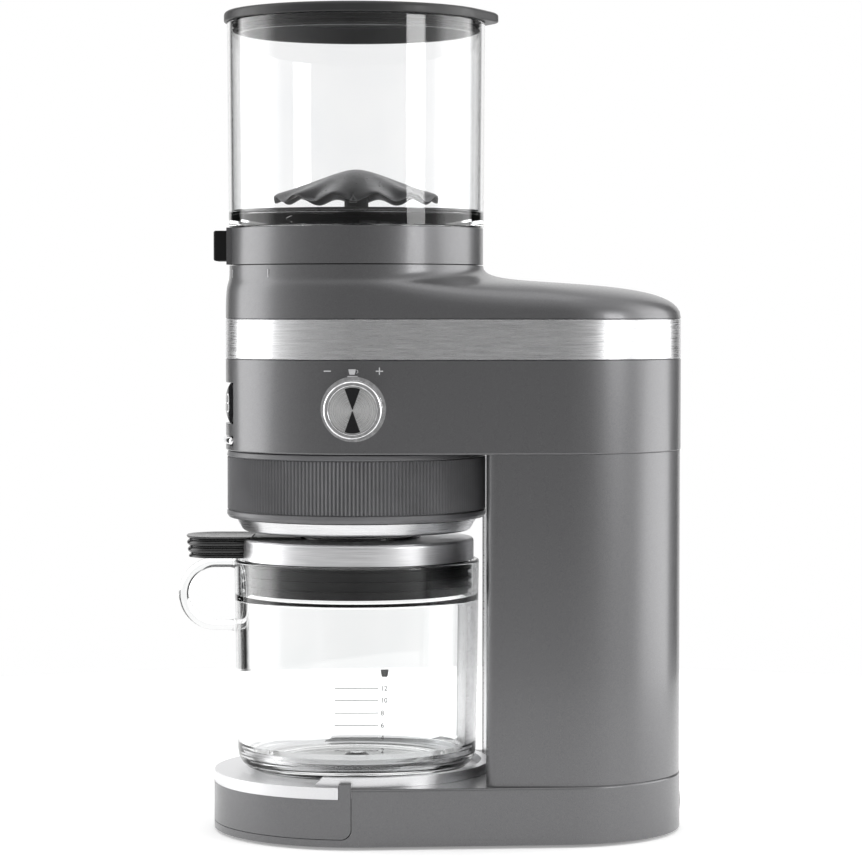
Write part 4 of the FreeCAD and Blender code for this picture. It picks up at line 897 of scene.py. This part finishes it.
# the light level for each share of the half turn from behind the object to the camera side
WORLD_STOPS = ((0.0, 1.0), (0.13, 1.0), (0.165, 0.03), (0.28, 0.03), (0.32, 3.0), (0.5, 3.0),
               (0.58, 0.8), (0.75, 0.42), (1.0, 0.26))
BRIGHTEST = 4.0      # a ramp's colours end at 1, so its levels are divided by this


def grey(level):
    """An even colour."""
    return (level, level, level, 1)


def world_light():
    """A studio seen by reflections: white behind, tall soft lights at the front and back ends,
    dim flags between them and a dim camera side. Seen directly, it is plain white."""
    world = bpy.data.worlds.new("studio")
    bpy.context.scene.world = world
    world.use_nodes = True
    world.node_tree.nodes.clear()
    add = node_adder(world.node_tree)
    split = add("SeparateXYZ", {0: add("TexCoord").outputs["Generated"]})
    away = add("Math", {0: split.outputs["X"], 1: -1.0}, operation="MULTIPLY")
    side = add("Math", {0: split.outputs["Y"]}, operation="ABSOLUTE")
    turn = add("Math", {0: side.outputs[0], 1: away.outputs[0]}, operation="ARCTAN2")
    share = add("Math", {0: turn.outputs[0], 1: math.pi}, operation="DIVIDE")
    ramp = add("ValToRGB", {"Fac": share.outputs[0]})
    elements = ramp.color_ramp.elements
    elements.remove(elements[1])
    for position, level in WORLD_STOPS:
        element = elements.new(position) if position > 0 else elements[0]
        element.color = grey(level / BRIGHTEST)
    overhead = add("MapRange", {"From Min": 0.35, "From Max": 0.8, "Value": split.outputs["Z"]})
    mix = add("MixRGB", {"Fac": overhead.outputs["Result"], "Color1": ramp.outputs["Color"],
                         "Color2": grey(1 / BRIGHTEST)})
    lit = add("Background", {"Color": mix.outputs["Color"], "Strength": BRIGHTEST})
    seen = add("Background", {"Color": grey(1)})
    from_camera = add("LightPath").outputs["Is Camera Ray"]
    chosen = add("MixShader", {"Fac": from_camera, 1: lit.outputs[0], 2: seen.outputs[0]})
    add("OutputWorld", {"Surface": chosen.outputs[0]})


def floor():
    """A pale disc, wide enough for the parts that slide off."""
    radius, middle_y = 0.7, 0.04
    mesh = bpy.data.meshes.new("floor")
    turn = np.linspace(0, FULL_TURN, 96, endpoint=False)
    rim = around(turn, radius, 0.0) + [0, middle_y, 0]
    mesh.from_pydata(rim.tolist(), [], [list(range(len(rim)))])
    piece = bpy.data.objects.new("floor", mesh)
    bpy.context.scene.collection.objects.link(piece)
    pale = Maker("pale_floor").set(Base_Color=grey(0.9), Roughness=0.9, Emission_Color=grey(1),
                                   Emission_Strength=0.3)
    piece.data.materials.append(pale.material)


def lamps_and_camera():
    """Two soft lamps, and the camera at the knob side, a little above the middle."""
    for name, place, energy, size in (("rear_lamp", (0.9, 1.3, 0.5), 5, 0.5),
                                      ("top_lamp", (0.2, 0.0, 2.0), 4, 1.4)):
        data = bpy.data.lights.new(name, "AREA")
        data.energy = energy
        data.size = size
        aim(name, data, place, (0, 0.04, 0.2))
    data = bpy.data.cameras.new("camera")
    data.sensor_width = 36.0
    data.lens = 131.1
    data.clip_end = 60.0
    middle_y = 0.03725
    camera = aim("camera", data, (1.57, middle_y, 0.262), (0, middle_y, 0.199))
    bpy.context.scene.camera = camera
    bpy.context.scene.view_settings.view_transform = "Standard"


def aim(name, data, place, target):
    """A lamp or camera at a place, turned so that its -Z axis points at the target."""
    thing = bpy.data.objects.new(name, data)
    bpy.context.scene.collection.objects.link(thing)
    thing.location = place
    way = Vector(target) - thing.location
    thing.rotation_euler = way.to_track_quat("-Z", "Y").to_euler()
    return thing


# ---------------------------------------------------------------- add-on

def operator(name, label, doc, *makers):
    """An operator class that runs the makers in order."""
    def execute(self, context):
        for make in makers:
            make()
        return {"FINISHED"}
    fields = {"bl_idname": "grinder." + name, "bl_label": label, "__doc__": doc, "execute": execute,
              "bl_options": {"REGISTER", "UNDO"}}
    return type("GRINDER_OT_" + name, (bpy.types.Operator,), fields)


OPERATORS = (
    operator("stage", "Stage", "Add the floor, the light and the camera", world_light, floor,
             lamps_and_camera),
    operator("hidden", "Inner pieces", "Give every CAD node its finish", hidden_pieces),
    operator("shells", "Body shells", "Make the painted shells", body_shells),
    operator("cover", "Top cover", "Make the cover's sweep up to the hopper", top_cover),
    operator("trim", "Steel trim", "Make the band, dish, bezel, front panel and tray", steel_trim),
    operator("ring", "Setting ring", "Make the ribbed ring", setting_ring),
    operator("hopper", "Hopper", "Make the clear hopper", hopper_wall),
    operator("guard", "Bean guard", "Make the scalloped guard", bean_guard, guard_stem),
    operator("hopper_fittings", "Hopper fittings", "Make base, seals, button and lid",
             hopper_fittings, hopper_lid),
    # the knob's two dark wedges are a painted reflection on its face
    operator("knob", "Knob", "Make the knob and its inlay", knob),
    operator("front", "Front controls", "Make the screen and the start bar", screen, start_bar),
    operator("marks", "Marks", "Add the printed marks", printed_marks),
    operator("jar", "Jar", "Make the glass jar and its handle", jar_body, jar_handle),
    operator("jar_marks", "Jar marks", "Add the level lines", jar_marks),
    operator("jar_lid", "Jar lid", "Make the jar's lid", jar_lid, jar_lever),
)


class GRINDER_PT_panel(bpy.types.Panel):
    """Lists the grinder's pieces in the sidebar."""
    bl_label = "Coffee grinder"
    bl_idname = "GRINDER_PT_panel"
    bl_space_type = "VIEW_3D"
    bl_region_type = "UI"
    bl_category = "Grinder"

    def draw(self, context):
        for group in (context.scene.grinder_sizes, context.scene.grinder_colors):
            for key in group.__annotations__:
                self.layout.prop(group, key)
        for item in OPERATORS:
            self.layout.operator(item.bl_idname)


CLASSES = (GrinderSizes, GrinderColors) + OPERATORS + (GRINDER_PT_panel,)


def register():
    """Adds the operators, the settings and the panel."""
    for item in CLASSES:
        bpy.utils.register_class(item)
    bpy.types.Scene.grinder_sizes = PointerProperty(type=GrinderSizes)
    bpy.types.Scene.grinder_colors = PointerProperty(type=GrinderColors)


def unregister():
    """Takes them away again."""
    del bpy.types.Scene.grinder_colors
    del bpy.types.Scene.grinder_sizes
    for item in reversed(CLASSES):
        bpy.utils.unregister_class(item)


def main():
    """Runs every operator in order and writes down the sizes."""
    register()
    for item in OPERATORS:
        group, name = item.bl_idname.split(".")
        getattr(getattr(bpy.ops, group), name)()


if __name__ == "__main__":
    main()
